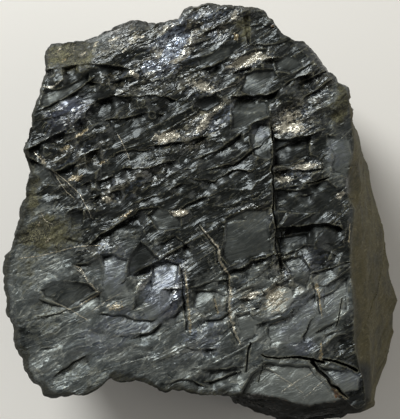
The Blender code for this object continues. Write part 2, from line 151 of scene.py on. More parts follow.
# Ledges: (points from left to right, drop on their lower side, run over which it recovers).
LEDGES = [
    ([(-42, 37.5), (-36, 38.3), (-30, 39.5), (-25, 39.2), (-20, 38)], 1.8, 5),
    ([(-42, 27.5), (-37, 30), (-33, 32.5), (-30, 35)], 1.1, 4),
    ([(-45.5, 17), (-40, 19.5), (-36, 21.5), (-32.5, 25), (-28, 29), (-24, 30.6), (-18, 30.6),
      (-12, 31), (-8, 30)], 1.8, 5),
    ([(-47, 14.5), (-43, 12), (-39, 10.5), (-34, 12.5), (-29, 15.5)], 1.4, 6),
    ([(-30, 7), (-26, 8.2), (-20, 10.8), (-14, 11.2), (-8, 13)], 1.1, 4),
    ([(-29, -9), (-26, -6.5), (-22, -4), (-18, -1.5)], 1.3, 4),
    ([(-3, 36.5), (2, 38), (6, 39.5), (9, 41.5)], 1.3, 4),
    ([(10, 37.5), (13, 38.8), (15, 39.8), (20, 40.5)], 1.5, 3),
    ([(11, 31), (15, 31), (20, 31.5), (25, 34.5), (28, 36)], 1.8, 5),
    ([(-12, 17.5), (-8, 18), (-3, 18.2), (1, 19.5)], 1.3, 4),
    ([(20.6, 10.4), (24, 11.2), (28, 10.7), (33, 11.2)], 1.3, 4),
    ([(22, -5.5), (28, -5), (33, -4.2), (36, -4), (38, -4.6)], 2.4, 6),
    ([(-8, -21.5), (-1, -21.3), (3, -20), (6.5, -19.3)], 1.1, 4),
    ([(8, -16.8), (11, -16), (14, -14), (18, -13.2), (20.5, -12.5)], 2.2, 5),
    ([(17, -31), (20, -30.2), (23, -29.5), (25, -28)], 1.1, 5),
    ([(-38, -44.5), (-35, -42), (-31, -40)], 0.9, 4),
    ([(-20, -19), (-17, -17), (-10, -13.5), (-4, -9.5)], 1.3, 4),
    ([(-16, -34.5), (-13, -33.5), (-10, -31), (-6, -28), (-5, -26.5)], 1.4, 5),
    ([(0, -43.2), (5, -43.5), (10, -43)], 1.2, 4),
]

# Small ledges which are too fine for the solid model, written the same way.
FINE_LEDGES = [
    ([(-30, 34.5), (-26, 34.2), (-20, 35.6), (-14, 34.8)], 0.8, 2.5),
    ([(-36, 18.2), (-33, 19.8), (-30, 21.2), (-27, 20.6)], 0.8, 2.5),
    ([(-24, 24.2), (-20, 25), (-16, 26.2), (-11, 26)], 0.7, 2.5),
    ([(-23, 14.6), (-19, 15.6), (-14, 16.4)], 0.5, 2.5),
    ([(-28, 3.2), (-22, 5.2), (-16, 6.4), (-9, 8.8), (-3, 11)], 0.7, 3),
    ([(-18, 1.4), (-12, 3.4), (-5, 7), (2, 7.2)], 0.8, 3),
    ([(-16, -0.6), (-11, 0.4), (-7.5, 0.2), (-4, 0.8), (1, 3.4)], 0.7, 2.5),
    ([(-47, -9), (-42, -8), (-37, -7.6), (-33, -8.6)], 0.5, 2.5),
    ([(-34, -14.4), (-30, -14.8), (-27.5, -13.6), (-23, -12)], 0.6, 2.5),
    ([(-42.5, -25), (-36, -27), (-31.5, -25), (-27.4, -22.4)], 0.7, 2.5),
    ([(-42, -29.8), (-38, -28.6), (-35, -27.2)], 0.4, 2),
    ([(-26, -28.6), (-20, -28.8), (-17, -30), (-13, -30)], 0.6, 2.5),
    ([(-21, -34.6), (-16, -34)], 0.5, 2),
    ([(-48, -37.8), (-44, -38.2), (-40, -37.6)], 0.5, 1.5),
    ([(-10, -9), (-6.5, -7), (-3.6, -9.6)], 0.6, 2),
    ([(1, 14.4), (6, 16.4), (10, 19.6), (13.5, 22.8), (17, 24)], 0.9, 3),
    ([(4, 11), (9, 12), (13, 15), (15.5, 17)], 0.8, 3),
    ([(-1, 8.2), (4, 7.4), (9, 10.4), (13, 10.4)], 0.7, 2.5),
    ([(8, 18.4), (12, 21), (15.4, 23.6)], 0.6, 2),
    ([(22, 31), (26, 33.6), (30, 35.6), (33.5, 37.2)], 0.8, 2.5),
    ([(29, 30.2), (32, 32.4), (35, 34.4)], 0.7, 2.5),
    ([(25.5, 19), (29, 20.2), (32.5, 21)], 0.8, 2.5),
    ([(20.5, 16.2), (24, 18), (27, 19)], 0.6, 2),
    ([(29, 7.2), (32, 7.9), (35, 9)], 0.9, 2),
    ([(21, 5.2), (26, 6.4), (31, 7)], 0.5, 2.5),
    ([(21.5, 2.6), (27, 3.4), (34, 5.2)], 0.4, 2.5),
    ([(24, -11.8), (28, -10.2), (32, -10.6), (36, -12)], 0.7, 2.5),
    ([(34.5, -9.4), (37, -10), (38.6, -9.6)], 0.7, 2),
    ([(31, -17.4), (35, -15.8), (40, -14.4)], 0.6, 2.5),
    ([(31, -21.6), (35, -20.4), (40, -17.4)], 0.5, 2.5),
    ([(33, -33), (37, -30.6), (41, -29)], 0.6, 2.5),
    ([(30, -37.6), (35, -34.6), (41, -31.4)], 0.5, 2.5),
    ([(1, -30.4), (5, -29.6), (8, -28.2)], 0.8, 2),
    ([(-2, -38), (0.5, -38.6), (3, -38)], 1, 2.5),
    ([(3, -46.6), (6, -46), (10, -44.6)], 0.9, 2.5),
    ([(-8, -47.2), (-3, -46.4), (0, -47.4)], 0.7, 2),
    ([(2, -34), (6, -33.6), (9, -31.4)], 0.6, 2),
    ([(16.5, -43), (21, -44.6), (25, -47.4)], 0.4, 2.5),
    ([(12, -24.6), (15.5, -24.4)], 1, 2),
    ([(11.4, -2.8), (9, -3.4), (6.6, -4.2)], 0.4, 2),
    ([(0, 47.4), (4, 48.6), (7, 50.6)], 0.9, 2.5),
    ([(-7, 43.2), (-2, 44.6), (2, 46)], 0.9, 2.5),
    ([(14, 50), (17, 50.4), (19.6, 50)], 0.6, 2),
    ([(16, 44.6), (20, 44.4), (24, 46)], 0.6, 2),
    ([(21.8, -16), (20.8, -8), (20.4, -3), (20, 3), (19.3, 11), (19.8, 16), (19.4, 22)], 1.2, 3),
]

# Scars: (middle, length, width, angle in degrees, depth) of the shells that have spalled off.
SCARS = [
    ((14, 40.5), 11, 5, 25, 1.5), ((1, 33.8), 8, 4, -20, 1.2), ((2.5, 28.3), 9, 5, 10, 2.2),
    ((-5, 20.5), 13, 4, 12, 1.2), ((4.5, 23.5), 10, 6, 42, 1.3), ((24.5, 24.5), 10, 9.5, 0, 1.5),
    ((29, 12.8), 8, 4, 5, 1.2), ((23, 9.5), 6, 4, -5, 1.1), ((16, -1.5), 9, 4, 35, 0.9),
    ((-34, -2.5), 6, 5, 60, 1), ((-35.5, -23), 16, 7, -8, 1.2), ((-7, 45), 12, 8, 50, 1.9),
    ((-17, 33.5), 12, 5, -8, 1.2), ((21, -24.5), 11, 8, 40, 1.2), ((35, 24), 9, 7, -30, 1.3),
    ((-13.5, -22), 12, 6, 50, 1.1), ((38.5, -37), 8, 6, 20, 1.2),
]

# Broken shoulders: (a point on the edge, direction that falls away in degrees, slope).
SHOULDERS = [
    ((-27, 41.5), 112, 0.6), ((-46.5, 24), 172, 0.5), ((-50.5, -22), 187, 0.6),
    ((-46, -42), 222, 0.65), ((29, 42), 46, 0.75), ((37.5, 16), 8, 0.35), ((30, -49.5), 285, 0.3),
]

# Open cracks of the face: (points, width at either end, depth).
CRACKS = [
    ([(17, -39.7), (22, -40), (27, -40.3), (30, -41), (34, -41.6)], 0.3, 0.8, 3.2),
    ([(34, -40.8), (37, -41.2), (40, -42.5), (41.4, -43.2), (42.4, -43.8)], 0.6, 0.9, 3.2),
    ([(30.8, -41.8), (32.5, -44.2), (35, -46.8), (38, -49.5), (40, -51.6)], 1.3, 0.35, 3.2),
    ([(19.4, 23), (19.8, 16), (19.3, 11), (20, 3), (20.4, -3), (20.8, -8), (21.8, -17)],
      0.3, 0.6, 0.7),
    ([(29, 7.2), (32, 7.9), (35, 9)], 0.3, 0.5, 1),
    ([(-38.5, -45), (-35, -42.2), (-31, -40)], 0.4, 0.4, 0.7),
    ([(39, -24), (38, -28), (37, -32)], 0.3, 0.3, 0.5),
    ([(13.6, -36), (13, -40), (12.6, -44)], 0.6, 0.8, 0.8),
    ([(17.2, -41), (16.6, -44), (15.6, -47)], 0.3, 0.3, 0.4),
    ([(-44, -29.8), (-40, -29.4), (-35.5, -27.4)], 0.3, 0.3, 0.3),
    ([(-4.9, -17), (-4.5, -21), (-3.8, -28), (-3.4, -33)], 0.8, 1, 0.6),
    ([(-0.2, -4.6), (2.6, -8), (4.3, -10.4), (4.9, -14)], 0.5, 0.8, 0.3),
    ([(4.9, -14), (7.3, -18), (7.6, -23), (7.2, -28), (8.8, -33), (10.4, -36.4)], 0.9, 1, 0.35),
    ([(31.2, -20.6), (31.9, -24), (32.6, -28.8)], 0.9, 0.5, 0.3),
    ([(3.5, -24), (3.9, -26), (4.5, -28)], 0.4, 0.5, 0.3),
    ([(12.6, 52), (13.2, 48.5), (13.6, 45)], 1.6, 1, 0.7),
]

# Parts of the face with a look of their own: (x, y, half length, half width, angle, weight).
REGIONS = {
    "dull": [
        (-30, -38, 26, 13, 25, 1), (-43, -20, 11, 14, 0, 0.9), (-36, 42, 5, 3, 10, 0.2),
        (-42, -6, 9, 8, 0, 0.9), (22, -46, 20, 8, 0, 0.9), (38, 30, 4, 8, -15, 0.7),
        (-4, -38, 20, 12, 20, 0.8), (27, -30, 19, 11, 30, 0.95), (-20, -18, 14, 12, 20, 0.6),
        (38, 13, 4, 9, 0, 0.5), (12, -24, 14, 9, 0, 0.8),
    ],
    "olive": [
        (-35, 42, 9, 5, 10, 0.9), (-42, -7, 10, 6, 10, 0.9), (-45, 4, 3, 7, 0, 0.8),
        (38.5, 29, 3.5, 7, -15, 0.9), (13, 49, 1.5, 5, 0, 0.9), (-20, 46, 10, 4, 18, 0.15),
        (-46, -17, 5, 9, 0, 0.38), (-43, -31, 6, 9, 0, 0.28), (-30, -45, 9, 4, 5, 0.25),
    ],
    "calm": [
        (-30, -38, 24, 12, 25, 0.75), (-42, -20, 11, 12, 0, 0.7), (-22, -16, 6, 8, 0, 0.75),
        (28, -28, 14, 9, 35, 0.75), (22, -46, 15, 5, 0, 0.7), (-6, -37, 10, 6, 30, 0.5),
        (13, -8, 9, 8, 0, 0.9), (-17, 21, 11, 5, 25, 0.75), (10, 25, 8, 5, 30, 0.7),
        (13, 14, 8, 6, 30, 0.6), (30, 2, 10, 6, 10, 0.8), (38, 13, 5, 9, 0, 0.9),
        (25, 15, 6, 5, 0, 0.85), (4, 42, 7, 4, 30, 0.8), (-36, 33, 8, 3, 30, 0.85),
        (-16, 8, 12, 3, 25, 0.7), (-10, -3, 8, 4, 15, 0.8), (-9, -23, 5, 8, -20, 0.6),
        (24, 38, 6, 4, 30, 0.7), (2, 13, 9, 3, 30, 0.6), (-35, 8, 8, 5, -20, 0.5),
        (16, 34, 6, 4, 30, 0.7), (35, -18, 8, 5, 20, 0.5),
    ],
    "gloss": [
        (-7, 44, 9, 8, 40, 1), (-13, 39, 5, 4, 40, 1), (2, 50, 12, 6, 10, 0.8),
        (-18, 35, 12, 6, 0, 0.5), (-36, 24, 9, 5, 30, 0.6), (0, 33, 7, 5, 0, 0.7),
        (2, 23, 12, 5, 35, 0.8), (25, 24, 8, 8, 0, 0.7), (18, 20, 4, 5, 0, 0.3),
        (27, 11, 9, 4, 5, 0.8), (-32, 15, 12, 6, 20, 0.45), (-10, -20, 8, 11, 0, 0.9),
        (15, -3, 7, 5, 30, 0.7), (26, -19, 7, 6, 0, 0.7), (12, -25, 8, 6, 0, 0.7),
        (29, -31, 12, 7, 35, 0.6), (24, -46, 14, 4, 0, 0.5), (-2, -38, 14, 5, 20, 0.5),
        (33, 33, 7, 7, 0, 0.5), (-30, 43, 12, 5, 12, 0.55), (-20, 46, 7, 5, 15, 0.8),
        (-25, -12, 6, 4, 0, 0.6), (2, -32, 8, 6, 30, 0.6), (-18, 6, 14, 4, 25, 0.5),
        (14, 40, 7, 4, 20, 0.9),
    ],
    # Painted shade: coal darkened towards black under ledges, in pits and in hollows.
    "dark": [
        (43, -52.4, 3.2, 2.6, 0, 1), (2, 28.6, 2.8, 2, 0, 0.9), (30, -3.8, 9, 1.5, 3, 0.9),
        (18, 31.2, 6.5, 1.2, 8, 0.9), (-38, 21, 8, 1.2, 30, 0.8), (-25, 30, 6, 1.1, 8, 0.8),
        (-24, 37.4, 4.2, 1.3, 0, 1), (-16, -13.6, 3.6, 4.6, -30, 0.7), (25, 15.6, 4.6, 3.6, 0, 0.7),
        (-5.4, -25, 0.9, 8, -5, 0.9), (12, -15.6, 6.5, 1.2, 14, 0.9), (-20, 21, 9, 2.2, 25, 0.6),
        (-44, -37.5, 3.6, 1.6, 0, 0.7), (-30, 26, 5, 1.6, 40, 0.6), (6, 13, 7, 2.2, 30, 0.7),
        (-22, 0, 6, 1.2, 30, 0.7), (33, 2.5, 6, 2.5, 0, 0.65), (-33, -2.5, 2.6, 2.2, 0, 0.9),
        (8, 34.4, 4, 1.4, 25, 0.6), (-40, 9, 4.5, 2.4, -10, 0.6), (-2, 41, 5, 1.8, 30, 0.6),
        (-20, -45.8, 8, 1.3, 0, 1.2), (21, 4, 0.9, 17, 3, 0.8), (-26.5, 44.6, 4.5, 2.4, 20, 0.85),
        (32, -8, 9, 4, 3, 0.75), (-36, 39.6, 4, 1.2, 10, 0.7),
    ],
    "rust": [
        (-20, -47.6, 3.4, 0.7, 0, 0.9), (20.5, 49.5, 1.6, 1, -40, 0.7),
        (38, -50.5, 2.4, 1.2, 40, 0.7),
    ],
    "blue": [
        (-7, 44, 8, 5, 40, 0.65), (-13, 39, 4, 3, 40, 0.7), (-35, 25, 8, 4, 35, 0.7),
        (16, 34, 6, 4, 30, 0.1), (17, 20.5, 2.4, 2.4, 0, 0.45), (-9, -22, 7, 10, 0, 0.8),
        (-22, -16, 6, 8, 0, 0.5), (-26, -32, 11, 3, 20, 0.5), (32, -14, 6, 4, 0, 0.3),
        (29, -38, 5, 3, 0, 0.6), (40, -46, 5, 4, 0, 0.5), (38, 14, 4, 6, 0, 0.4),
        (-22, -34, 15, 5, 25, 0.5), (28, -28, 14, 7, 35, 0.45), (2, -36, 9, 5, 30, 0.45),
    ],
}

SEAM_REACH = 6.0  # how far from a seam its distance is still told, in half widths
# Mineral film along hairline seams: (points, half width at either end, warmth of its tone).
FILM_SEAMS = [
    ([(-39.8, 10.5), (-35.8, 7.4), (-32.4, 4), (-31, 1.4), (-29.4, -1.7)], 0.16, 0.18, 0.3),
    ([(-39.4, 9.6), (-37.6, 6.8), (-36.2, 4.8), (-34.2, 3.2)], 0.14, 0.12, 0.5),
    ([(-22, 20), (-20.4, 17), (-19, 13.5)], 0.2, 0.12, 0.3),
    ([(-45, 15.5), (-42, 12.5)], 0.3, 0.15, 0.2),
    ([(-34, -15.2), (-32.4, -15.8), (-30.4, -19), (-27.6, -22.6)], 0.14, 0.2, 0.3),
    ([(-33.8, -16), (-31.8, -17.4), (-29.8, -20.6), (-27.8, -22.6)], 0.14, 0.16, 0.3),
    ([(-40, -25), (-35, -27.3), (-30.5, -30)], 0.14, 0.2, 0.5),
    ([(-43, -1), (-42, -3), (-40, -4)], 0.16, 0.12, 0.6),
    ([(-49, -13.3), (-44, -12.7), (-38, -11.3), (-33, -10), (-27, -9.7)], 0.16, 0.2, 0.6),
    ([(-3.8, -17), (-3.5, -21), (-2.9, -28), (-2.5, -33)], 0.3, 0.55, 0.7),
    ([(0.5, -5), (3.4, -8.4), (5, -10), (5.5, -14)], 0.25, 0.5, 0.4),
    ([(5.5, -14), (8, -18), (8.4, -23), (8, -28)], 0.45, 0.7, 0.5),
    ([(8, -28), (9.4, -33), (11, -36.4)], 0.6, 0.25, 0.3),
    ([(4, -24), (4.4, -26), (5, -28)], 0.2, 0.45, 0.8),
    ([(31.8, -20.6), (32.5, -24), (33.2, -28.8)], 0.7, 0.2, 1),
    ([(33, -36.6), (33, -41)], 0.35, 0.6, 1),
    ([(3, 31.5), (10, 34), (12, 36)], 0.15, 0.25, 0),
    ([(36, -48), (40, -51.5)], 0.3, 0.6, 1),
    ([(-42.4, 33.4), (-40, 33.2), (-37.8, 35)], 0.5, 0.2, 0.1),
    ([(-27.2, -22.8), (-30, -24.6), (-33, -26.2)], 0.4, 0.15, 0.7),
    ([(-29, -27.5), (-25, -24.6), (-21.6, -22.8)], 0.12, 0.16, 0.3),
    ([(20, -31), (23, -30), (26, -28.4)], 0.16, 0.12, 0.2),
    ([(17.5, -42), (21, -45), (25, -47.4), (28, -49.8)], 0.16, 0.1, 0.2),
    ([(22.5, -49.5), (26, -47), (30.5, -44.6)], 0.14, 0.2, 0.3),
    ([(28.4, -51.4), (31.4, -48.6), (33.4, -47)], 0.12, 0.16, 0.4),
    ([(40.8, -4), (40.6, -9)], 0.14, 0.25, 0.9),
]

# Flakes of film: (x, y, half length, half width, angle, weight, warmth of their tone).
FILM_FLAKES = [
    (12.5, 40.5, 4.2, 1.4, 22, 1, 0.1), (17, 41.2, 3, 0.6, 0, 0.9, 0),
    (0.8, 33.5, 3, 1.3, -20, 0.9, 0), (-8.8, 19.8, 3.2, 1.3, 12, 1, 0.15),
    (1.2, 23.6, 3.4, 1.1, 52, 0.9, 0), (4.6, 27.4, 2.4, 0.8, 45, 0.6, 0),
    (-5.3, -1, 1.9, 0.8, 5, 1.2, 0.15), (38.2, 4, 1.5, 0.6, 40, 1, 0.1),
    (14, -23.4, 2, 0.9, 25, 1.1, 0.1), (20.5, -24, 3.6, 3, 60, 0.78, 0.25),
    (29, 11.7, 3.2, 0.8, 8, 1, 0), (23, 8.3, 2.2, 0.7, 5, 0.9, 0),
    (-25, 2.8, 1.4, 0.7, 0, 0.9, 0.2), (-17.8, 36.6, 1.4, 0.7, -30, 1, 0.1),
    (24.3, 22.2, 3.8, 1.5, 0, 1, 0.1), (24.6, 25, 3.6, 2.6, 20, 0.72, 0.15),
    (-32, 20.8, 1.8, 0.5, 30, 0.8, 0.8), (-42.6, 13.4, 1.6, 0.5, -60, 0.8, 0.5),
    (-33.4, 8.6, 1.9, 0.8, 20, 0.85, 0.75), (-19.6, -1.2, 2.4, 0.5, 35, 0.75, 0.8),
    (-26.4, 12.8, 1.6, 0.5, 25, 0.7, 0.8), (-36.5, 16.8, 1.5, 0.6, 30, 0.8, 0.7),
    (10, 47, 0.8, 0.8, 0, 0.9, 0.9), (-38.6, 43.4, 1.8, 0.5, 65, 0.62, 0.6),
    (-36.4, 41.4, 1.5, 0.5, 40, 0.6, 0.8), (-34.2, 43.8, 2.2, 0.5, 75, 0.64, 0.5),
    (-31.6, 42.6, 1.6, 0.45, 30, 0.62, 0.4), (-28.4, 44.8, 1.8, 0.5, 60, 0.66, 0.2),
    (-23.6, 46.2, 1.6, 0.5, 20, 0.7, 0.1), (-19.4, 44.2, 2, 0.5, 50, 0.7, 0.1),
    (-16.2, 47, 1.8, 0.5, 10, 0.68, 0.1), (-43.4, -3.4, 2, 0.5, 70, 0.62, 0.6),
    (-41.2, -8.4, 1.8, 0.5, 35, 0.6, 0.5), (-22.5, -26.2, 2.4, 1.2, 15, 0.8, 0.7),
    (9.5, 52.5, 1, 1.6, -30, 0.8, 0),
]

# Colours of the coal, its stains and its films.
BLACK = (0.0068, 0.0075, 0.0070, 1)
CHARCOAL = (0.0135, 0.0155, 0.0145, 1)
GREY = (0.205, 0.225, 0.218, 1)
SLATE = (0.078, 0.092, 0.098, 1)
BLUE_GREY = (0.095, 0.108, 0.150, 1)
# Dust on hairlines, also the painted highlight on crests.
DUST_AND_CREST_HIGHLIGHT = (0.17, 0.165, 0.115, 1)
OLIVE = (0.080, 0.076, 0.038, 1)
# Peat brown, also the painted shade on the undercut, round the rim and between crumbs.
PEAT_AND_SHADE = (0.010, 0.009, 0.005, 1)
CRUST = (0.19, 0.18, 0.105, 1)
JOINT = (0.068, 0.057, 0.022, 1)
JOINT_FLECK = (0.17, 0.148, 0.088, 1)
CREAM = (0.40, 0.38, 0.31, 1)
TAN = (0.25, 0.19, 0.082, 1)
RUST = (0.13, 0.06, 0.02, 1)
COLD_GLINT = (0.30, 0.37, 0.52, 1)
WARM_GLINT = (0.46, 0.41, 0.28, 1)
WHITE_GLINT = (0.62, 0.68, 0.72, 1)
# Scratches, also the painted highlight on slab edges and on the lightest panes.
SCRATCH_AND_HIGHLIGHT = (0.36, 0.37, 0.33, 1)

# Brightness of the room round the sides and overhead.
ROOM_SIDES = 0.95
ROOM_ABOVE = 0.04

# The support, in metres.
FLOOR_WIDTH = 3.0
FLOOR_GAP = 0.0002  # how far it lies below the foot

# Lamps, all aimed at the lump: (name, place, size, power, colour), in metres and watts.
LAMP_TARGET = Vector((0, 0, 0.04))
LAMPS = [
    ("key", (-0.30, 0.46, 0.48), 0.36, 4.9, (1.0, 1.0, 0.96)),  # broad, up and to the left
    ("fill", (0.62, 0.0, 0.55), 0.6, 1.1, (1.0, 0.95, 0.86)),  # weak, to the right
]

# The camera's distance from the face, and what it sees there.
CAMERA_DISTANCE = 800.0
VIEW_WIDTH = 108.4
VIEW_MIDDLE = (0.1, 0.0)

# Smooth panes, each one clean break: (outline, height over the dome, rise to the right, rise up,
# how light its painted sheen is).
PANES = [
    ([(7, -2.5), (13, -0.6), (19.4, -0.3), (20.2, -12), (14, -13.6), (8.5, -15), (6, -12), (6, -6)],
      -0.2, 0.02, 0.03, 0.28),
    ([(21, -7), (30, -6.5), (30, -11), (24, -12.8), (21.5, -13)], -0.8, 0, 0.04, 0.05),
    ([(20.2, 20), (25, 19), (30, 19.8), (29.5, 14), (25, 12), (20.2, 11.8)], -1.5, 0, 0.02, 0),
    ([(-42.5, -22.6), (-38, -20.4), (-33, -19.8), (-30, -20.3), (-27.4, -22.4), (-31.4, -24.8),
      (-36, -26.6), (-41.5, -25)], -0.7, -0.04, 0.16, 0.12),
    ([(-36, -27.4), (-31, -25), (-27, -22.8), (-26.4, -26), (-29, -30), (-31, -29.6)],
      -0.3, 0.06, -0.22, 0.6),
    ([(-26.4, -12), (-22, -11.4), (-18.4, -13), (-20, -18), (-18.6, -23.6), (-25, -24),
      (-26.8, -21), (-25.8, -16)], -0.1, 0.08, -0.1, 0.75),
    ([(-14, -14.5), (-9, -12.6), (-5.2, -14), (-5.4, -20), (-8.6, -27), (-13.4, -30.6), (-15, -27),
      (-12.6, -22)], -0.2, 0.1, -0.16, 0.8),
    ([(-18.8, -27), (-16.6, -21.6), (-13, -18), (-12.6, -21), (-15, -26)], -0.9, -0.1, 0.1, 0.25),
    ([(20, -20.4), (24.6, -21), (26, -25), (23, -29), (17.6, -30), (17.4, -25)],
      0.1, 0.12, -0.2, 1.3),
    ([(22, -13.6), (28, -12.8), (31, -17), (28.6, -21.6), (25.4, -20.4)], -0.3, -0.06, 0.1, 0.15),
    ([(-46, 12), (-40.5, 10.6), (-36, 6.6), (-38, 5.5), (-46.3, 6.5)], -0.4, 0, 0.05, 0.15),
    ([(-35.5, -1), (-31.5, 0), (-31, -4), (-34.5, -5.4)], -1, 0, 0.1, 0),
    ([(-15, -2), (-12, -6.2), (-5, -5.2), (-5, -2.5), (-7.5, -0.8), (-12, 0.2)],
      -0.5, 0.03, 0.02, 0.3),
    ([(-16.5, -9), (-10.5, -13), (-14, -17.5), (-19.5, -18.8), (-19.5, -15), (-18, -11)],
      -0.6, -0.05, 0.08, 0),
    ([(-43.5, 29.5), (-42.3, 32.6), (-38, 33.6), (-34, 35.6), (-29.5, 37.8), (-29.6, 35.2),
      (-34, 32.2), (-37, 29.4), (-40, 26.5), (-43.2, 27.5)], -0.2, 0.05, -0.1, 0.3),
    ([(11, 32.5), (12.5, 37.3), (15, 38.8), (20, 38.5), (21, 36.5), (17, 32.3), (14, 31.2)],
      -0.5, 0.05, -0.12, 0.2),
    ([(20.4, 41.2), (24, 43), (28, 42), (28, 39.5), (24.5, 37.3), (20.3, 38)],
      -0.6, -0.02, 0.06, 0.25),
    ([(8, 27.5), (10.5, 30), (19, 30.2), (19.3, 26), (12, 21.5), (8, 22)], -0.3, 0.02, -0.03, 0.25),
    ([(13.5, 21), (16.5, 23.5), (19.3, 23.6), (19.3, 13.5), (14, 14)], 0, 0.08, -0.16, 0.15),
    ([(35, 20), (41, 19), (41.5, 12), (40, 8.6), (35.6, 9.6)], 0, -0.03, 0, 0.5),
    ([(20.5, 5), (34.5, 8), (39, 4), (38.5, -1), (21, -1)], -0.3, 0, 0.02, 0),
    ([(17.5, -41.4), (30.6, -42.6), (39, -51.5), (37, -54), (28, -55), (20, -52.5), (11, -50.5),
      (14, -45)], 0, 0.03, -0.08, 0.95),
    ([(32.4, -42.6), (40, -43.6), (44, -45.2), (44.5, -49), (39.6, -50)], 0, 0.06, -0.1, 1),
    ([(18, -31.5), (25.5, -28.6), (31, -22), (33, -29), (27, -36), (19, -38)],
      0, 0.04, -0.05, 0.88),
    ([(-0.5, 41), (8.6, 45.3), (9.2, 41.8), (5, 39.8), (-0.5, 38.6)], -0.3, 0.03, -0.02, 0.15),
    ([(-0.8, 27.2), (0.6, 31.2), (4.5, 31.4), (5.3, 28.8), (2, 26.6)], -2, 0, 0, 0),
    ([(9.6, -28.6), (13.4, -27), (17, -30.6), (14, -34.6), (10.6, -35)], -0.1, 0.1, -0.12, 0.75),
    ([(-1.6, -21.8), (3.6, -21.4), (7, -23), (6.6, -28), (1.6, -29.6), (-1.8, -27)],
      -0.4, 0.05, -0.1, 0.4),
    ([(25, -30), (31, -24.6), (40.6, -18), (41, -27), (34, -33.6), (28, -36)],
      -0.1, 0.05, -0.04, 0.85),
]


def fade(values, start, run):
    """Rises from 0 to 1 over a run of the given length, which begins at the start."""
    return np.clip((values - start) / run, 0, 1)


def eased(share):
    """A share from 0 to 1 that starts and ends gently."""
    return share * share * (3 - 2 * share)


def turned(x, y, middle, angle):
    """Places measured from a middle, along a direction in degrees and across it."""
    turn = math.radians(angle)
    dx, dy = x - middle[0], y - middle[1]
    along = dx * math.cos(turn) + dy * math.sin(turn)
    return along, dy * math.cos(turn) - dx * math.sin(turn)


def outline_radius(points, angles):
    """Distance from the middle axis to a closed outline of straight runs, at each angle."""
    corners = np.array(points + points[:1], float)
    shares = np.linspace(0.0, 1.0, 60, endpoint=False)[None, :, None]
    runs = corners[:-1, None] + (corners[1:] - corners[:-1])[:, None] * shares
    x, y = runs.reshape(-1, 2).T
    around = np.arctan2(y, x)
    order = np.argsort(around)
    return np.interp(angles, around[order], np.hypot(x, y)[order], period=2 * math.pi)


def disc_of(steps):
    """A square grid stretched over any outline: each point's angle and share of the radius."""
    u = np.linspace(-1.0, 1.0, steps + 1)
    x, y = np.meshgrid(u, u)
    angles = np.arctan2(y, x)
    corners = np.radians([45, 135, 225, 315])
    angles += np.interp(angles, corners, np.radians(CORNER_SHIFTS), period=2 * math.pi)
    return angles, np.maximum(np.abs(x), np.abs(y))


def border_of(steps):
    """Indices of the grid's border, anticlockwise, as one loop of 4 * steps points."""
    index = np.arange((steps + 1) ** 2).reshape(steps + 1, steps + 1)
    sides = (index[0, :-1], index[:-1, -1], index[-1, :0:-1], index[:0:-1, 0])
    return np.concatenate(sides)


def random_cells(seed):
    """A block of seeded random numbers, seven for each cell, which repeats in space."""
    return np.random.default_rng(seed).random((24, 24, 24, 7))


def scooped(points, size, seed, hollow=1.0, lean=0.9, bias=0.0):
    """Shallow scoops that meet in sharp crests: 0 at their middles and about 1 at the crests.

    Each cell of a jittered grid holds one bowl with its own lean, and the lowest bowl counts.
    A bias leans them all the same way, so that they overlap like shingles."""
    cells = random_cells(seed).reshape(-1, 7)
    place = points / np.array(size)
    home = np.floor(place).astype(np.int64)
    lowest = np.full(len(points), np.inf)
    for step in np.ndindex(3, 3, 3):
        cell = home + np.array(step) - 1
        wrapped = cell % 24
        chance = cells[(wrapped[:, 0] * 24 + wrapped[:, 1]) * 24 + wrapped[:, 2]]
        away = place - cell - 0.15 - 0.7 * chance[:, :3]
        leaning = ((chance[:, 3:6] - 0.5) * away).sum(1) * lean + bias * away[:, 1]
        bowl = hollow * (away**2).sum(1) + leaning + 0.5 * chance[:, 6]
        lowest = np.minimum(lowest, bowl)
    return lowest


def scoops(name, points):
    """Depth of one of the named sets of scoops."""
    size, seed, hollow, lean, bias, depth = SCOOPS[name]
    return scooped(points, size, seed, hollow, lean, bias) * depth


def drift(points, size, seed):
    """Smooth wandering between -0.5 and 0.5."""
    cells = random_cells(seed)[..., 0].ravel()
    place = points / size
    home = np.floor(place).astype(np.int64)
    part = eased(place - home)
    total = np.zeros(len(points))
    for step in np.ndindex(2, 2, 2):
        wrapped = (home + np.array(step)) % 24
        value = cells[(wrapped[:, 0] * 24 + wrapped[:, 1]) * 24 + wrapped[:, 2]]
        total += value * np.where(step, part, 1 - part).prod(1)
    return total - 0.5


def swayed(points, reaches):
    """Places moved by smooth wandering, one (size, reach, seed) for each octave of it."""
    moved = points.copy()
    for size, reach, seed in reaches:
        for axis in range(3):
            moved[:, axis] += 2 * reach * drift(points, size, seed + axis)
    return moved


def flat_places(x, y):
    """Places on a plane, for the patterns that don't change with depth."""
    return np.stack([x, y, 0 * x], 1)


def along_polyline(x, y, points):
    """For each point: its distance to a polyline, its side (+1 to the left of the way it runs),
    how far it lies beyond either end, and its share of the way along."""
    nearest = np.full(len(x), np.inf)
    side = np.zeros(len(x))
    beyond = np.zeros(len(x))
    way = np.zeros(len(x))
    line = np.array(points, float)
    last = len(line) - 2
    for i, (start, end) in enumerate(zip(line[:-1], line[1:], strict=True)):
        run = end - start
        length = math.hypot(*run)
        raw = ((x - start[0]) * run[0] + (y - start[1]) * run[1]) / length**2
        share = np.clip(raw, 0, 1)
        dx = x - start[0] - share * run[0]
        dy = y - start[1] - share * run[1]
        distance = np.hypot(dx, dy)
        closer = distance < nearest
        nearest = np.where(closer, distance, nearest)
        side = np.where(closer, np.sign(run[0] * dy - run[1] * dx), side)
        way = np.where(closer, (i + share) / (last + 1), way)
        over = np.zeros(len(x))
        if i == 0:
            over = np.maximum(over, -raw * length)
        if i == last:
            over = np.maximum(over, (raw - 1) * length)
        beyond = np.where(closer, over, beyond)
    return nearest, side, beyond, way


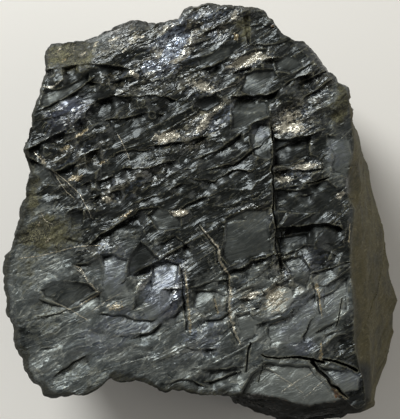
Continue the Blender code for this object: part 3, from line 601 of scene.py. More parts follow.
def inside_depth(x, y, points):
    """How far each place lies inside a closed outline, negative outside it."""
    distance, _, _, _ = along_polyline(x, y, points + points[:1])
    inside = np.zeros(len(x), bool)
    for (x0, y0), (x1, y1) in zip(points, points[1:] + points[:1], strict=True):
        crosses = (y0 > y) != (y1 > y)
        at = x0 + (y - y0) * (x1 - x0) / (y1 - y0 if y1 != y0 else 1e-9)
        inside ^= crosses & (x < at)
    return np.where(inside, distance, -distance)


def within(x, y, points, reach):
    """Indices of the points that lie within reach of a feature's box."""
    box = np.array(points, float)
    low = box.min(0) - reach
    high = box.max(0) + reach
    return np.flatnonzero((x > low[0]) & (x < high[0]) & (y > low[1]) & (y < high[1]))


def pane_share(x, y):
    """How fully each place belongs to a smooth pane, and that pane's height and painted sheen."""
    share = np.zeros(len(x))
    level = np.zeros(len(x))
    tone = np.zeros(len(x))
    wx, wy, _ = swayed(flat_places(x, y), PANE_SWAY).T
    for points, offset, rise_x, rise_y, light in PANES:
        i = within(wx, wy, points, 1)
        inside = np.clip(inside_depth(wx[i], wy[i], points) / PANE_EDGE, 0, 1)
        cx, cy = np.mean(points, axis=0)
        dx, dy = x[i] - cx, y[i] - cy
        reach = np.ptp(points, axis=0).max() / 2
        plane = domed_face(cx, cy) + offset + rise_x * dx + rise_y * dy
        plane -= PANE_SAG * (dx**2 + dy**2) / reach
        level[i] = np.where(inside > share[i], plane, level[i])
        tone[i] = np.where(inside > share[i], light, tone[i])
        share[i] = np.maximum(share[i], inside)
    return eased(share), level, tone


def bed_coordinates(points):
    """Places measured along the bedding, across it and down into the block."""
    x, y, z = points.T
    across = y - BED_SLOPE * x - BED_BEND * x**2 + BED_DIP * (z - FACE_HEIGHT)
    along = x * math.cos(BED_ANGLE) + y * math.sin(BED_ANGLE)
    return np.stack([along, across * math.cos(BED_ANGLE), z], 1)


def band_relief(points):
    """Saw-tooth ledges where bands of unlike hardness come to the surface."""
    beds = bed_coordinates(points)
    rng = np.random.default_rng(4)
    edges = np.cumsum(rng.uniform(*BAND_WIDTHS, BAND_COUNT)) + FIRST_BAND
    lean = rng.uniform(0.35, 1.0, BAND_COUNT) * np.where(rng.random(BAND_COUNT) < 0.6, 1, -1)
    wander = scooped(beds, (26, 11, 26), 5) * 3.0
    across = beds[:, 1] + wander
    band = np.clip(np.searchsorted(edges, across) - 1, 0, BAND_COUNT - 2)
    share = (across - edges[band]) / (edges[band + 1] - edges[band])
    share = np.minimum(share / BAND_RISE, (1 - share) / (1 - BAND_RISE))
    strength = np.clip(scooped(beds, (19, 9, 19), 6) * 1.5, 0, 1)
    return (share - 0.5) * lean[band] * strength


def roughness_of(x, y):
    """Share of the full relief: the lower left of the face is much calmer than the rest."""
    calm = 1 / (1 + np.exp((y + 12 + 0.6 * (x + 20)) / 4.0))
    return 1 - 0.5 * calm


def rim_radius(angles):
    """Distance from the middle axis to the chipped rim of the fracture face."""
    radius = outline_radius(RIM, angles)
    place = flat_places(radius * np.cos(angles), radius * np.sin(angles))
    bites = sum(scooped(place, (size,) * 3, seed) * depth for size, seed, depth in RIM_BITES)
    # The edge against the joint face is nearly straight.
    return radius + (RIM_SWELL - bites) * np.where(place[:, 0] > JOINT_LINE + 0.5, 0.2, 1.0)


def domed_face(x, y):
    """Height of the fracture face before anything has broken off it."""
    return FACE_HEIGHT - FACE_DOME * (x**2 + y**2)


def break_shoulders(x, y, z):
    """Beyond the edge of each shoulder the face falls away at a slope."""
    for point, direction, slope in SHOULDERS:
        beyond, _ = turned(x, y, point, direction)
        z = z - slope * np.maximum(beyond, 0)
    return z


def spall_scars(x, y, z):
    """Each shell is deepest towards its upper edge and runs out at its lower one."""
    for middle, length, width, angle, depth in SCARS:
        along, across = turned(x, y, middle, angle)
        u = along / (length / 2)
        v = across / (width / 2)
        z = z - depth * np.maximum(1 - u**2 - v**2, 0) * (1 + 0.6 * v)
    return z


def smooth_panes(x, y, z):
    """Levels the coal where it broke off in a clean pane."""
    share, level, _ = pane_share(x, y)
    return z + (level - z) * share * PANE_DEPTH


def drop_ledges(x, y, z, wx, wy):
    """Steps of uneven height along the ledges, whose lines are followed at the swayed places."""
    z = z.copy()
    uneven = np.clip(1.05 + 3.0 * drift(flat_places(x, y), 3.2, 63), 0.15, 1.6)
    for points, drop, run in LEDGES + FINE_LEDGES:
        i = within(x, y, points, 4 * run)
        distance, side, beyond, _ = along_polyline(wx[i], wy[i], points)
        below = -distance * side
        drops = drop * uneven[i] * np.clip(0.5 + below / STEP_RUN, 0, 1)
        z[i] -= drops * np.exp(-np.maximum(below, 0) / run) * np.clip(1 - beyond / LEDGE_FADE, 0, 1)
    return z


def round_rim(x, y, z):
    """The rim is rounded off in chips, but for its clean edges at the right and lower right."""
    inside = rim_radius(np.arctan2(y, x)) - np.hypot(x, y)
    crisp = np.maximum(fade(x, -2, 6) * fade(-y, 44, 3), fade(x, JOINT_LINE - 0.5, 2))
    mean, reach, size, seed = RIM_BEVEL
    width = np.maximum((mean + reach * drift(flat_places(x, y), size, seed)) * (1 - crisp), 0.01)
    return z - 0.9 * width * np.clip(1 - inside / width, 0, 1) ** 2


def open_cracks(x, y, z):
    """Cracks that open in tapering grooves with steep walls."""
    z = z.copy()
    for points, start_width, end_width, depth in CRACKS:
        i = within(x, y, points, 3)
        distance, _, beyond, way = along_polyline(x[i], y[i], points)
        half = (start_width + (end_width - start_width) * way) / 2
        wall = np.clip(1.6 * (1 - distance / half), 0, 1)
        z[i] -= depth * wall * np.clip(1 - beyond / CRACK_FADE, 0, 1)
    return z


def face_relief(x, y):
    """Height of the fracture face over its points, rim included."""
    z = break_shoulders(x, y, domed_face(x, y))
    z = spall_scars(x, y, z)
    z = smooth_panes(x, y, z)
    wx, wy, _ = swayed(flat_places(x, y), LEDGE_SWAY).T
    z = drop_ledges(x, y, z, wx, wy)
    z = round_rim(x, y, z)
    return open_cracks(wx, wy, z)


def wall_sections(angles, rim_height):
    """The walls' corner lines from the rim down to the foot: (radius, height) at each angle."""
    return [
        (rim_radius(angles), rim_height),
        (outline_radius(COLLAR, angles), rim_height - COLLAR_DROP),
        (outline_radius(BELLY, angles), np.full_like(angles, BELLY_HEIGHT)),
        (outline_radius(HEEL, angles), np.full_like(angles, HEEL_HEIGHT)),
        (outline_radius(FOOT, angles), np.zeros_like(angles)),
    ]


def wall_points(angles, rim_height):
    """Rings of points down the walls, from just under the rim to the border of the foot."""
    sections = wall_sections(angles, rim_height)
    levels = np.array(WALL_LEVELS)
    rings = []
    for share in np.linspace(0, 1, WALL_RINGS + 2)[1:]:
        part = min(np.searchsorted(levels, share, side="right") - 1, 3)
        blend = (share - levels[part]) / (levels[part + 1] - levels[part])
        (r0, z0), (r1, z1) = sections[part], sections[part + 1]
        radius = r0 + (r1 - r0) * blend
        height = z0 + (z1 - z0) * blend
        rings.append(np.stack([radius * np.cos(angles), radius * np.sin(angles), height], 1))
    return np.concatenate(rings)


def foot_points(angles):
    """Rings of points across the foot, from the last wall ring to the middle point."""
    radius = outline_radius(FOOT, angles)
    flat = np.stack([radius * np.cos(angles), radius * np.sin(angles), np.zeros_like(radius)], 1)
    shares = np.linspace(1, 0, FOOT_RINGS + 2)[1:-1]
    return np.concatenate([flat * share for share in shares] + [np.zeros((1, 3))])


def block_points(height_of):
    """Points of the block: its face at the heights given, then the walls, then the foot.

    Also how many belong to the face, and how far each one lies below the rim of the face."""
    angles, share = disc_of(GRID_STEPS)
    angles, share = angles.ravel(), share.ravel()
    rim = rim_radius(angles) * share
    top_x, top_y = rim * np.cos(angles), rim * np.sin(angles)
    top = np.stack([top_x, top_y, height_of(top_x, top_y)], 1)
    border = border_of(GRID_STEPS)
    walls = wall_points(angles[border], top[border, 2])
    foot = foot_points(angles[border])
    below_rim = np.tile(top[border, 2], WALL_RINGS + 1) - walls[:, 2]
    fall = np.concatenate([np.zeros(len(top)), below_rim, np.full(len(foot), FACE_HEIGHT)])
    return np.concatenate([top, walls, foot]), len(top), fall


def block_faces(top_count):
    """Corner indices of the four-sided faces, and of the three-sided ones round the middle."""
    index = np.arange((GRID_STEPS + 1) ** 2).reshape(GRID_STEPS + 1, GRID_STEPS + 1)
    grid = np.stack([index[:-1, :-1], index[:-1, 1:], index[1:, 1:], index[1:, :-1]], -1)
    border = border_of(GRID_STEPS)
    around = len(border)
    ring_count = WALL_RINGS + 1 + FOOT_RINGS
    rings = [border]
    rings += [top_count + around * k + np.arange(around) for k in range(ring_count)]
    faces = [grid.reshape(-1, 4)]
    for upper, lower in zip(rings[:-1], rings[1:], strict=True):
        faces.append(np.stack([upper, lower, np.roll(lower, -1), np.roll(upper, -1)], 1))
    middle = np.full(around, rings[-1][-1] + 1)
    fan = np.stack([rings[-1], middle, np.roll(rings[-1], -1)], 1)
    return np.concatenate(faces), fan


def outward(points, faces):
    """Unit directions that point out of the mesh, averaged over the faces round each point."""
    across = points[faces[:, 2]] - points[faces[:, 0]]
    other = points[faces[:, 3]] - points[faces[:, 1]]
    normals = np.cross(across, other)
    total = np.zeros_like(points)
    for corner in range(4):
        for axis in range(3):
            total[:, axis] += np.bincount(
                faces[:, corner], weights=normals[:, axis], minlength=len(points)
            )
    return total / np.maximum(np.linalg.norm(total, axis=1, keepdims=True), 1e-9)


def region_share(name, x, y):
    """How fully each place lies in the named regions: 0 outside, up to their weight inside."""
    share = np.zeros(len(x))
    for cx, cy, half_length, half_width, angle, weight in REGIONS[name]:
        along, across = turned(x, y, (cx, cy), angle)
        reach = np.hypot(along / half_length, across / half_width)
        share = np.maximum(share, weight * np.clip(1.6 * (1.15 - reach), 0, 1))
    return share


def stir_of(points):
    """How lively the broken surface is, place by place: splintered near the bright scars."""
    patchy = drift(bed_coordinates(points), 8.0, 41)
    bright = region_share("gloss", points[:, 0], points[:, 1])
    return np.clip(0.12 + 1.1 * patchy + 0.78 * bright, 0.05, 1.3)


def relief_depth(points, wall, joint):
    """How far the surface stands out or in: on the face (wall = 0), the walls, the joint face."""
    beds = bed_coordinates(points)
    bent = bed_coordinates(swayed(points, RELIEF_SWAY))
    share = roughness_of(points[:, 0], points[:, 1])
    share = (share + (0.9 - share) * wall) * (1 - 0.72 * joint)
    lively = stir_of(points) * (1 - 0.8 * region_share("calm", points[:, 0], points[:, 1]))
    lively = lively * (1 - wall) + 0.6 * wall
    coarse = scoops("coarse", beds) * (0.5 + 0.5 * wall)
    medium = scoops("medium", bent) * (0.7 + 0.3 * wall)
    bands = band_relief(points) * 1.9 * (0.25 + 0.75 * wall)
    large = coarse + medium + bands
    # Shells leave crests, and pillows leave creases.
    small = (scoops("shells", bent) + scoops("pillows", bent)) * (0.5 + 0.5 * lively)
    splinters = scoops("chips", bent) + scoops("flakes", bent)
    small += (splinters * lively + scoops("striae", beds)) * (1 - wall)
    small_share = (0.4 + 0.6 * share) * (1 - 0.8 * joint)
    return (large - 1.2) * share + small * small_share


def broken_block():
    """The block with the bands and the scoops of the fracture worked into all its sides."""
    smooth, top_count, fall = block_points(domed_face)
    points, _, _ = block_points(face_relief)
    faces, fan = block_faces(top_count)
    is_foot = points[:, 2] < 1e-6
    # From the rim down, the relief of the face turns into the coarser relief of the walls.
    wall = eased(fade(fall, 0, WALL_TURN))
    # The clean joint face on the right is nearly flat.
    joint = fade(points[:, 0], JOINT_LINE, 2.0) * (fall > 0)
    pane = np.zeros(len(points))
    pane[:top_count] = pane_share(points[:top_count, 0], points[:top_count, 1])[0]
    # The relief dies out at the foot, so that the parting face stays flat.
    rise = fade(points[:, 2], 0, FOOT_TURN) * ~is_foot
    depth = relief_depth(points, wall, joint)
    # Near the rim the relief works up and down, so that the outline of the face keeps its shape.
    push = outward(smooth, faces) * (depth * (1 - 0.7 * pane) * rise)[:, None]
    push[:, :2] *= (0.25 + 0.75 * wall)[:, None]
    moved = points + push
    moved[is_foot, 2] = 0
    return moved, faces, fan


def mesh_of(name, points, faces, fan):
    """A mesh of four-sided and three-sided faces, from arrays of millimetres."""
    mesh = bpy.data.meshes.new(name)
    corners = np.concatenate([faces.ravel(), fan.ravel()]).astype(np.int32)
    starts = np.concatenate([np.arange(len(faces)) * 4, faces.size + np.arange(len(fan)) * 3])
    mesh.vertices.add(len(points))
    mesh.vertices.foreach_set("co", (points * MM).astype(np.float32).ravel())
    mesh.loops.add(len(corners))
    mesh.loops.foreach_set("vertex_index", corners)
    mesh.polygons.add(len(starts))
    mesh.polygons.foreach_set("loop_start", starts.astype(np.int32))
    mesh.update(calc_edges=True)
    return mesh


def thinned(mesh, name, face_count):
    """The mesh as an object, thinned where it is plainest and less on its fracture face."""
    piece = bpy.data.objects.new(name, mesh)
    bpy.context.scene.collection.objects.link(piece)
    plain = piece.vertex_groups.new(name="plain")
    plain.add(list(range(face_count)), 0.5, "REPLACE")
    plain.add(list(range(face_count, len(mesh.vertices))), 1.0, "REPLACE")
    thin = piece.modifiers.new("Thin", "DECIMATE")
    thin.vertex_group = plain.name
    thin.vertex_group_factor = FACE_CARE
    triangles = sum(len(polygon.vertices) - 2 for polygon in mesh.polygons)
    thin.ratio = min(1.0, FACE_BUDGET / triangles)
    thin.use_collapse_triangulate = True
    bpy.context.view_layer.update()
    graph = bpy.context.evaluated_depsgraph_get()
    piece.data = bpy.data.meshes.new_from_object(piece.evaluated_get(graph))
    piece.modifiers.clear()
    piece.vertex_groups.clear()
    return piece


def points_and_normals(mesh):
    """The mesh's points in millimetres, and the way each one faces."""
    places = np.empty(len(mesh.vertices) * 3, np.float32)
    mesh.vertices.foreach_get("co", places)
    normals = np.empty(len(mesh.vertices) * 3, np.float32)
    mesh.vertex_normals.foreach_get("vector", normals)
    return places.reshape(-1, 3).astype(float) / MM, normals.reshape(-1, 3)


def add_value(mesh, name, values):
    """Stores one number for each point of the mesh, for its material to read."""
    layer = mesh.attributes.new(name, "FLOAT", "POINT")
    layer.data.foreach_set("value", values.astype(np.float32))


def seam_values(x, y):
    """Film seams: signed distance from the nearest one in half widths, its presence and tone."""
    offset = np.full(len(x), SEAM_REACH)
    present = np.zeros(len(x))
    tone = np.zeros(len(x))
    for points, start_width, end_width, warmth in FILM_SEAMS:
        i = within(x, y, points, 2)
        distance, side, beyond, way = along_polyline(x[i], y[i], points)
        half = start_width + (end_width - start_width) * way
        value = np.clip(distance / half, 0, SEAM_REACH)
        nearer = value < np.abs(offset[i])
        offset[i] = np.where(nearer, value * np.where(side < 0, -1, 1), offset[i])
        present[i] = np.where(nearer, np.clip(1 - beyond / 1.2, 0, 1), present[i])
        tone[i] = np.where(nearer, warmth, tone[i])
    return offset, present, tone


def flake_values(x, y):
    """Film flakes: their weight in the middle, half of it at their outline; and their tone."""
    film = np.zeros(len(x))
    tone = np.zeros(len(x))
    for cx, cy, half_length, half_width, angle, weight, warmth in FILM_FLAKES:
        along, across = turned(x, y, (cx, cy), angle)
        reach = np.hypot(along / half_length, across / half_width)
        share = weight * np.clip(1 - 0.5 * reach, 0, 1)
        stronger = share > film
        film = np.where(stronger, share, film)
        tone = np.where(stronger, warmth, tone)
    return film, tone


def crest_of(mesh, places, normals):
    """How far each point stands out over its neighbours: above 0 on crests, below 0 in creases."""
    edges = np.empty(len(mesh.edges) * 2, np.int32)
    mesh.edges.foreach_get("vertices", edges)
    starts, ends = edges.reshape(-1, 2).T
    total = np.zeros(len(places))
    count = np.zeros(len(places))
    for point, other in ((starts, ends), (ends, starts)):
        away = places[point] - places[other]
        bend = (away * normals[point]).sum(1) / np.maximum(np.linalg.norm(away, axis=1), 1e-6)
        total += np.bincount(point, weights=bend, minlength=len(places))
        count += np.bincount(point, minlength=len(places))
    return total / np.maximum(count, 1)


def paint_regions(mesh, places, on_face):
    """The looks that keep to regions of the face, with wandering borders; the dark regions are
    painted shade.
    """
    wobble = (scooped(places, (5, 5, 5), 21) - 0.3) * 3
    for name in ("dull", "olive", "blue", "gloss", "dark", "rust"):
        share = region_share(name, places[:, 0] + wobble, places[:, 1] - wobble)
        add_value(mesh, name, share * on_face)


def paint_films(mesh, x, y, on_face):
    """The mineral films in the seams and in flakes. Returns how far each place is on a flake."""
    flake, flake_tone = flake_values(x, y)
    seam, seam_on, seam_tone = seam_values(x, y)
    add_value(mesh, "flake", flake * on_face)
    add_value(mesh, "flake_tone", flake_tone)
    add_value(mesh, "seam", seam)
    add_value(mesh, "seam_on", seam_on * on_face)
    add_value(mesh, "seam_tone", seam_tone)
    return flake


def liveliness(places, on_face, pane, flake):
    """How lively the coal glitters: most in the splinters, least on the calm parts and panes."""
    # Away from the fracture face, bright bands of coal alternate with dull ones.
    banded = drift(bed_coordinates(places) / np.array([6.0, 1.0, 6.0]), 3.2, 45)
    stir = stir_of(places) * on_face + np.clip(0.4 + 1.8 * banded, 0.1, 1.2) * (1 - on_face)
    stir = np.maximum(stir, np.clip(3 * flake - 0.6, 0, 0.9))
    calm = np.maximum(region_share("calm", places[:, 0], places[:, 1]), pane) * 0.8 * on_face
    return stir * (1 - calm * np.clip(1.6 - 3 * flake, 0, 1))


def shaded_rim(places, near_top, inside):
    """A chipped border of painted shade runs round the face, widest at its lower left."""
    x, y, _ = places.T
    widest = np.clip(2.4 * np.cos(np.arctan2(y, x) - math.radians(218)) - 0.8, 0, 1)
    border = (0.6 + 1.9 * widest) * (1 + 1.6 * drift(places, 3.0, 71))
    rim = np.clip(1.4 - inside / border, 0, 1) * near_top * fade(-x, -41, 2)
    # The slab at the lower right has none, and the broken shoulder at the upper left has little.
    slab = fade(x, 12, 4) * fade(-y, 44, 3)
    shoulder = fade(y, 40, 3) * fade(x, -32, 3) * fade(-x, 12, 4)
    return rim * (1 - slab) * (1 - 0.8 * shoulder)


def painted_undercut_shade(places, near_top, on_face, inside):
    """Painted shade on the overhang below the face, and on the edge along its upper left."""
    x, y, z = places.T
    overhang = (1 - on_face) * fade(-y, 41, 3) * fade(x, -42, 18) * fade(-x, -48, 3)
    overhang = overhang * np.clip((z - 3) / 15, 0.2, 1)
    edge = fade(y, 38, 3) * fade(-x, 8, 4) * near_top * np.clip(1.5 - inside / 1.4, 0, 1)
    return np.maximum(overhang, 0.75 * edge)


def paint(mesh, places, normals):
    """Stores where the coal is dull, stained, bluish or coated, and where shade is painted, point by
    point.
    """
    x, y, z = places.T
    near_top = fade(z - domed_face(x, y), -10, 3)
    inside = outline_radius(RIM, np.arctan2(y, x)) + 0.8 - np.hypot(x, y)
    on_face = near_top * fade(normals[:, 2], 0.1, 0.25) * fade(inside, 0.2, 1)
    paint_regions(mesh, places, on_face)
    flake = paint_films(mesh, x, y, on_face)
    pane, _, pane_tone = pane_share(x, y)
    under = painted_undercut_shade(places, near_top, on_face, inside)
    joint = fade(x, JOINT_LINE, 1) * (1 - on_face) * fade(z, 4, 4)
    add_value(mesh, "on_face", on_face)
    add_value(mesh, "pane", pane * on_face)
    add_value(mesh, "pane_tone", pane_tone)
    add_value(mesh, "crest", np.clip(crest_of(mesh, places, normals), -0.5, 0.5))
    # Painted shade round the rim and on the undercut below the face.
    add_value(mesh, "rim", shaded_rim(places, near_top, inside))
    add_value(mesh, "under", under)
    add_value(mesh, "joint", joint * (1 - under))
    add_value(mesh, "lively", liveliness(places, on_face, pane, flake) * (1 - joint))


class Shade:
    """A number, place or colour that changes over a surface: the output of a shader node."""

    def __init__(self, tree, socket):
        self.tree = tree
        self.socket = socket

    def math(self, operation, other=0.0):
        """One step of arithmetic on this number, with another one if it needs two."""
        return add_node(self.tree, "ShaderNodeMath", operation=operation, i0=self, i1=other)

    def __add__(self, other):
        return self.math("ADD", other)

    def __sub__(self, other):
        return self.math("SUBTRACT", other)

    def __mul__(self, other):
        return self.math("MULTIPLY", other)

    def ramp(self, low, high, to_low=0.0, to_high=1.0):
        """Goes from one value to another as this goes from low to high, and stays there."""
        return add_node(
            self.tree, "ShaderNodeMapRange", Value=self, From_Min=low, From_Max=high,
            To_Min=to_low, To_Max=to_high,
        )

    def mix(self, first, second):
        """The first colour where this is 0, the second where it is 1."""
        return add_node(
            self.tree, "ShaderNodeMix", 2, data_type="RGBA", i0=self, i6=first, i7=second
        )

    def vector(self, operation, other=(0.0, 0.0, 0.0)):
        """One step of arithmetic on this place, direction or colour."""
        return add_node(self.tree, "ShaderNodeVectorMath", operation=operation, i0=self, i1=other)

    def cells(self, along, across, down):
        """This place, measured in cells that long along the bedding, across it and down."""
        return self.vector("DIVIDE", (along, across, down))

    def noise(self, scale=1.0, detail=3.0, roughness=0.6):
        """Cloudy noise at this place, mostly between 0.3 and 0.7."""
        return add_node(
            self.tree, "ShaderNodeTexNoise", Vector=self, Scale=scale, Detail=detail,
            Roughness=roughness,
        )


def add_node(tree, kind, output=0, **settings):
    """Adds a shader node, sets its properties and inputs, and returns one of its outputs.

    An input goes by its name with _ for each space, or by i and its number."""
    made = tree.nodes.new(kind)
    for name, value in settings.items():
        if hasattr(made, name):
            setattr(made, name, value)
            continue
        if name[0] == "i" and name[1:].isdigit():
            socket = made.inputs[int(name[1:])]
        else:
            wanted = name.replace("_", " ")
            socket = next(x for x in made.inputs if x.name == wanted and x.enabled)
        if isinstance(value, Shade):
            tree.links.new(value.socket, socket)
        else:
            socket.default_value = value
    return Shade(tree, made.outputs[output])


def largest(*shades):
    """The largest of several numbers, place by place."""
    result = shades[0]
    for shade in shades[1:]:
        result = result.math("MAXIMUM", shade)
    return result


def stored(tree, name):
    """A number painted on the mesh."""
    return add_node(tree, "ShaderNodeAttribute", "Fac", attribute_name=name)


def wandering(place, scale, reach):
    """A place in millimetres, moved by smooth wandering."""
    noise = add_node(
        place.tree, "ShaderNodeTexNoise", "Color", Vector=place, Scale=scale, Detail=1.0
    )
    centred = noise.vector("SUBTRACT", (0.5, 0.5, 0.5))
    return place.vector("ADD", centred.vector("MULTIPLY", (reach, reach, reach)))


def bowls(cells):
    """Small hollows which meet in crests, from 0 at their middles to about 0.6 at the crests."""
    distance = add_node(
        cells.tree, "ShaderNodeTexVoronoi", "Distance", Vector=cells, Scale=1.0
    )
    return distance.math("POWER", 2.0)


def hairlines(cells):
    """Thin wandering lines: 1 along them and 0 between them."""
    away = (cells.noise(1.0, 2.0, 0.55) - 0.5).math("ABSOLUTE")
    return away.ramp(0.006, 0.022, 1.0, 0.0)


def facet_colours(cells):
    """A shattered pattern, with one random colour for each facet."""
    return add_node(cells.tree, "ShaderNodeTexVoronoi", "Color", Vector=cells, Scale=1.0)


def facet_edges(cells):
    """The edges of the same shattered pattern."""
    distance = add_node(
        cells.tree, "ShaderNodeTexVoronoi", "Distance", feature="DISTANCE_TO_EDGE", Vector=cells,
        Scale=1.0,
    )
    return distance.ramp(0.0, 0.07, 1.0, 0.0)


def shattered(normal, cells, tilt):
    """Tilts the normal by a random amount in each facet of a shattered pattern."""
    turn = facet_colours(cells).vector("SUBTRACT", (0.5, 0.5, 0.5))
    turn = add_node(cells.tree, "ShaderNodeVectorMath", operation="SCALE", Vector=turn, Scale=tilt)
    return normal.vector("ADD", turn).vector("NORMALIZE")


def frayed(mask, pattern, reach):
    """A mask whose border wanders with a pattern."""
    return mask + pattern.ramp(0.3, 0.7, -reach, reach)


def coal_patterns(tree):
    """The patterns of broken coal which its colour, gloss and relief share."""
    place = add_node(tree, "ShaderNodeTexCoord", "Object")
    # Places in millimetres, with the bedding laid along X.
    beds = add_node(
        tree, "ShaderNodeMapping", Vector=place, Rotation=(0, 0, -BED_ANGLE),
        Scale=(1 / MM, 1 / MM, 1 / MM),
    )
    warped = wandering(beds, 0.15, 3.5)
    bent = wandering(warped, 0.8, 0.6)
    slabs = bent.cells(6.0, 2.6, 4.0)
    return SimpleNamespace(
        warped=warped,
        bent=bent,
        slabs=slabs,
        slab_tone=add_node(tree, "ShaderNodeSeparateColor", "Red", Color=facet_colours(slabs)),
        slab_edge_highlight=facet_edges(slabs),
        hairs=hairlines(bent.cells(8.0, 0.8, 2.5)),
        scratches=hairlines(bent.cells(8.0, 0.55, 2.5)),
        streak=warped.cells(7.0, 0.8, 2.5).noise(1.0, 4.0, 0.6),
        striae=warped.cells(6.0, 0.45, 2.0).noise(1.0, 1.0, 0.5),
        shards=bowls(bent.cells(2.8, 1.1, 2.0)),
        chips=bowls(bent.cells(1.1, 0.5, 0.9)),
        crumbs=bowls(bent.cells(1.9, 1.1, 1.6)),
        patch=beds.noise(0.16, 2.0),
        ragged=beds.cells(1.6, 0.9, 1.2).noise(1.0, 3.0, 0.65),
        speck=beds.noise(1.6, 3.0, 0.65),
        grain=beds.noise(3.2, 2.0, 0.6),
    )


def coal_masks(tree, pattern):
    """Masks of dull, glossy, smooth, stained and coated coal, of painted shade, and the panes'
    painted sheen.
    """
    mask = SimpleNamespace()
    for name in ("gloss", "lively", "joint", "pane", "on_face"):
        setattr(mask, name, stored(tree, name))
    mask.dull = frayed(stored(tree, "dull"), pattern.ragged, 0.3).ramp(0.1, 1.0)
    mask.sheen = frayed(stored(tree, "blue"), pattern.ragged, 0.35).ramp(0.2, 1.0)
    # Painted shade under ledges and in hollows.
    mask.dark = frayed(stored(tree, "dark"), pattern.ragged, 0.35).ramp(0.3, 0.9) * 0.85
    mask.olive = frayed(stored(tree, "olive"), pattern.ragged, 0.3).ramp(0.2, 0.7)
    # Painted shade round the rim and on the undercut below the face.
    mask.rim = frayed(stored(tree, "rim"), pattern.ragged, 0.3).ramp(0.35, 0.75)
    mask.under = stored(tree, "under") * pattern.patch.ramp(0.3, 0.7, 0.55, 1.0)
    mask.rust = (stored(tree, "rust") + pattern.speck.ramp(0.3, 0.7, -0.4, 0.3)).ramp(0.4, 0.9)
    mask.covered = largest(mask.rim, mask.joint, mask.under, mask.olive * 0.9)
    # Crests get a painted highlight and creases get painted shade.
    uneven = frayed(stored(tree, "crest"), pattern.speck, 0.05)
    mask.crest = uneven.ramp(0.09, 0.2) * mask.on_face
    mask.crease = uneven.ramp(-0.04, -0.16)
    mask.spark = mask.gloss.ramp(0.85, 1.0) * pattern.ragged.ramp(0.42, 0.56, 0.0, 0.8)
    glint = mask.gloss.ramp(0.25, 0.9) * pattern.ragged.ramp(0.46, 0.62, 0.0, 0.3)
    mask.glint = largest(glint, mask.spark)
    # How light each pane's painted sheen is.
    tone = frayed(stored(tree, "pane_tone"), pattern.patch, 0.12)
    mask.pane_tone = frayed(tone, pattern.streak, 0.14)
    scratched = pattern.scratches * pattern.patch.ramp(0.4, 0.6, 0.0, 0.5)
    mask.scratched = scratched * mask.dull * mask.pane.ramp(0, 1, 1, 0.3)
    mask.seam = seam_film(tree, pattern)
    mask.film = largest(mask.seam, flake_film(tree, pattern))
    return mask


def seam_film(tree, pattern):
    """Mineral film that fills the hairline seams, with ragged edges."""
    offset = frayed(stored(tree, "seam"), pattern.ragged, 0.7).math("ABSOLUTE")
    offset = offset + pattern.speck.ramp(0.3, 0.7, 0.7, -0.3)
    return offset.ramp(0.3, 1.0, 1, 0) * stored(tree, "seam_on")


def flake_film(tree, pattern):
    """Mineral film that lies in broken flakes."""
    flake = stored(tree, "flake")
    field = flake + pattern.ragged.ramp(0.3, 0.7, -0.22, 0.3)
    field = field + pattern.speck.ramp(0.3, 0.7, -0.15, 0.2)
    return field.ramp(0.48, 0.66) * flake.ramp(0.05, 0.25)


def film_colour(tree, pattern, mask):
    """Cream to tan, with dark specks."""
    flake = stored(tree, "flake_tone").mix(CREAM, TAN)
    seam = stored(tree, "seam_tone").mix(CREAM, TAN)
    return pattern.speck.ramp(0.35, 0.55, 0.6, 0.0).mix(mask.seam.mix(flake, seam), CHARCOAL)


def bare_colour(pattern, mask):
    """Bright and dull coal, its bluish sheen, its glints and its smooth panes with their painted
    sheen.
    """
    colour = pattern.streak.ramp(0.35, 0.7).mix(BLACK, CHARCOAL)
    dull_tone = pattern.streak.ramp(0.3, 0.7, -0.1, 0.5) + pattern.slab_tone * 0.6
    dull_tone = frayed(dull_tone, pattern.grain, 0.25)
    colour = mask.dull.mix(colour, dull_tone.mix(SLATE, GREY))
    colour = mask.sheen.mix(colour, BLUE_GREY)
    glint = pattern.slab_tone.ramp(0.45, 0.55).mix(COLD_GLINT, WARM_GLINT)
    colour = mask.glint.mix(colour, glint)
    colour = (mask.spark * pattern.speck.ramp(0.4, 0.6)).mix(colour, WHITE_GLINT)
    # The panes, paler where their painted sheen is lighter.
    pane = mask.pane_tone.mix(CHARCOAL, GREY)
    pane = mask.pane_tone.ramp(1.0, 1.6).mix(pane, SCRATCH_AND_HIGHLIGHT)
    pane = (mask.sheen * 0.85).mix(pane, BLUE_GREY)
    return (mask.pane * 0.85).mix(colour, pane)


def worn_and_painted_light_colour(pattern, mask, colour):
    """Dust on hairs, scratches, painted highlight on crests and slab edges, painted shade in creases
    and hollows.
    """
    dusted = pattern.hairs * pattern.ragged.ramp(0.42, 0.58, 0.0, 0.85)
    dusted = dusted * mask.lively.ramp(0.0, 0.6, 0.4, 1)
    colour = (dusted * mask.on_face).mix(colour, DUST_AND_CREST_HIGHLIGHT)
    colour = mask.scratched.mix(colour, SCRATCH_AND_HIGHLIGHT)
    # Painted highlight along the edges of the slabs of dull coal.
    edge_highlight = pattern.slab_edge_highlight * pattern.ragged.ramp(0.48, 0.6, 0.0, 0.7)
    colour = (edge_highlight * mask.dull * mask.pane.ramp(0, 1, 1, 0.2)).mix(colour, SCRATCH_AND_HIGHLIGHT)
    # Painted highlight on the crests in the colour of dust, and painted shade in the creases.
    colour = (mask.crest * 0.4).mix(colour, DUST_AND_CREST_HIGHLIGHT)
    colour = (mask.crease * 0.8).mix(colour, BLACK)
    # Painted shade under ledges and in hollows.
    return mask.dark.mix(colour, BLACK)


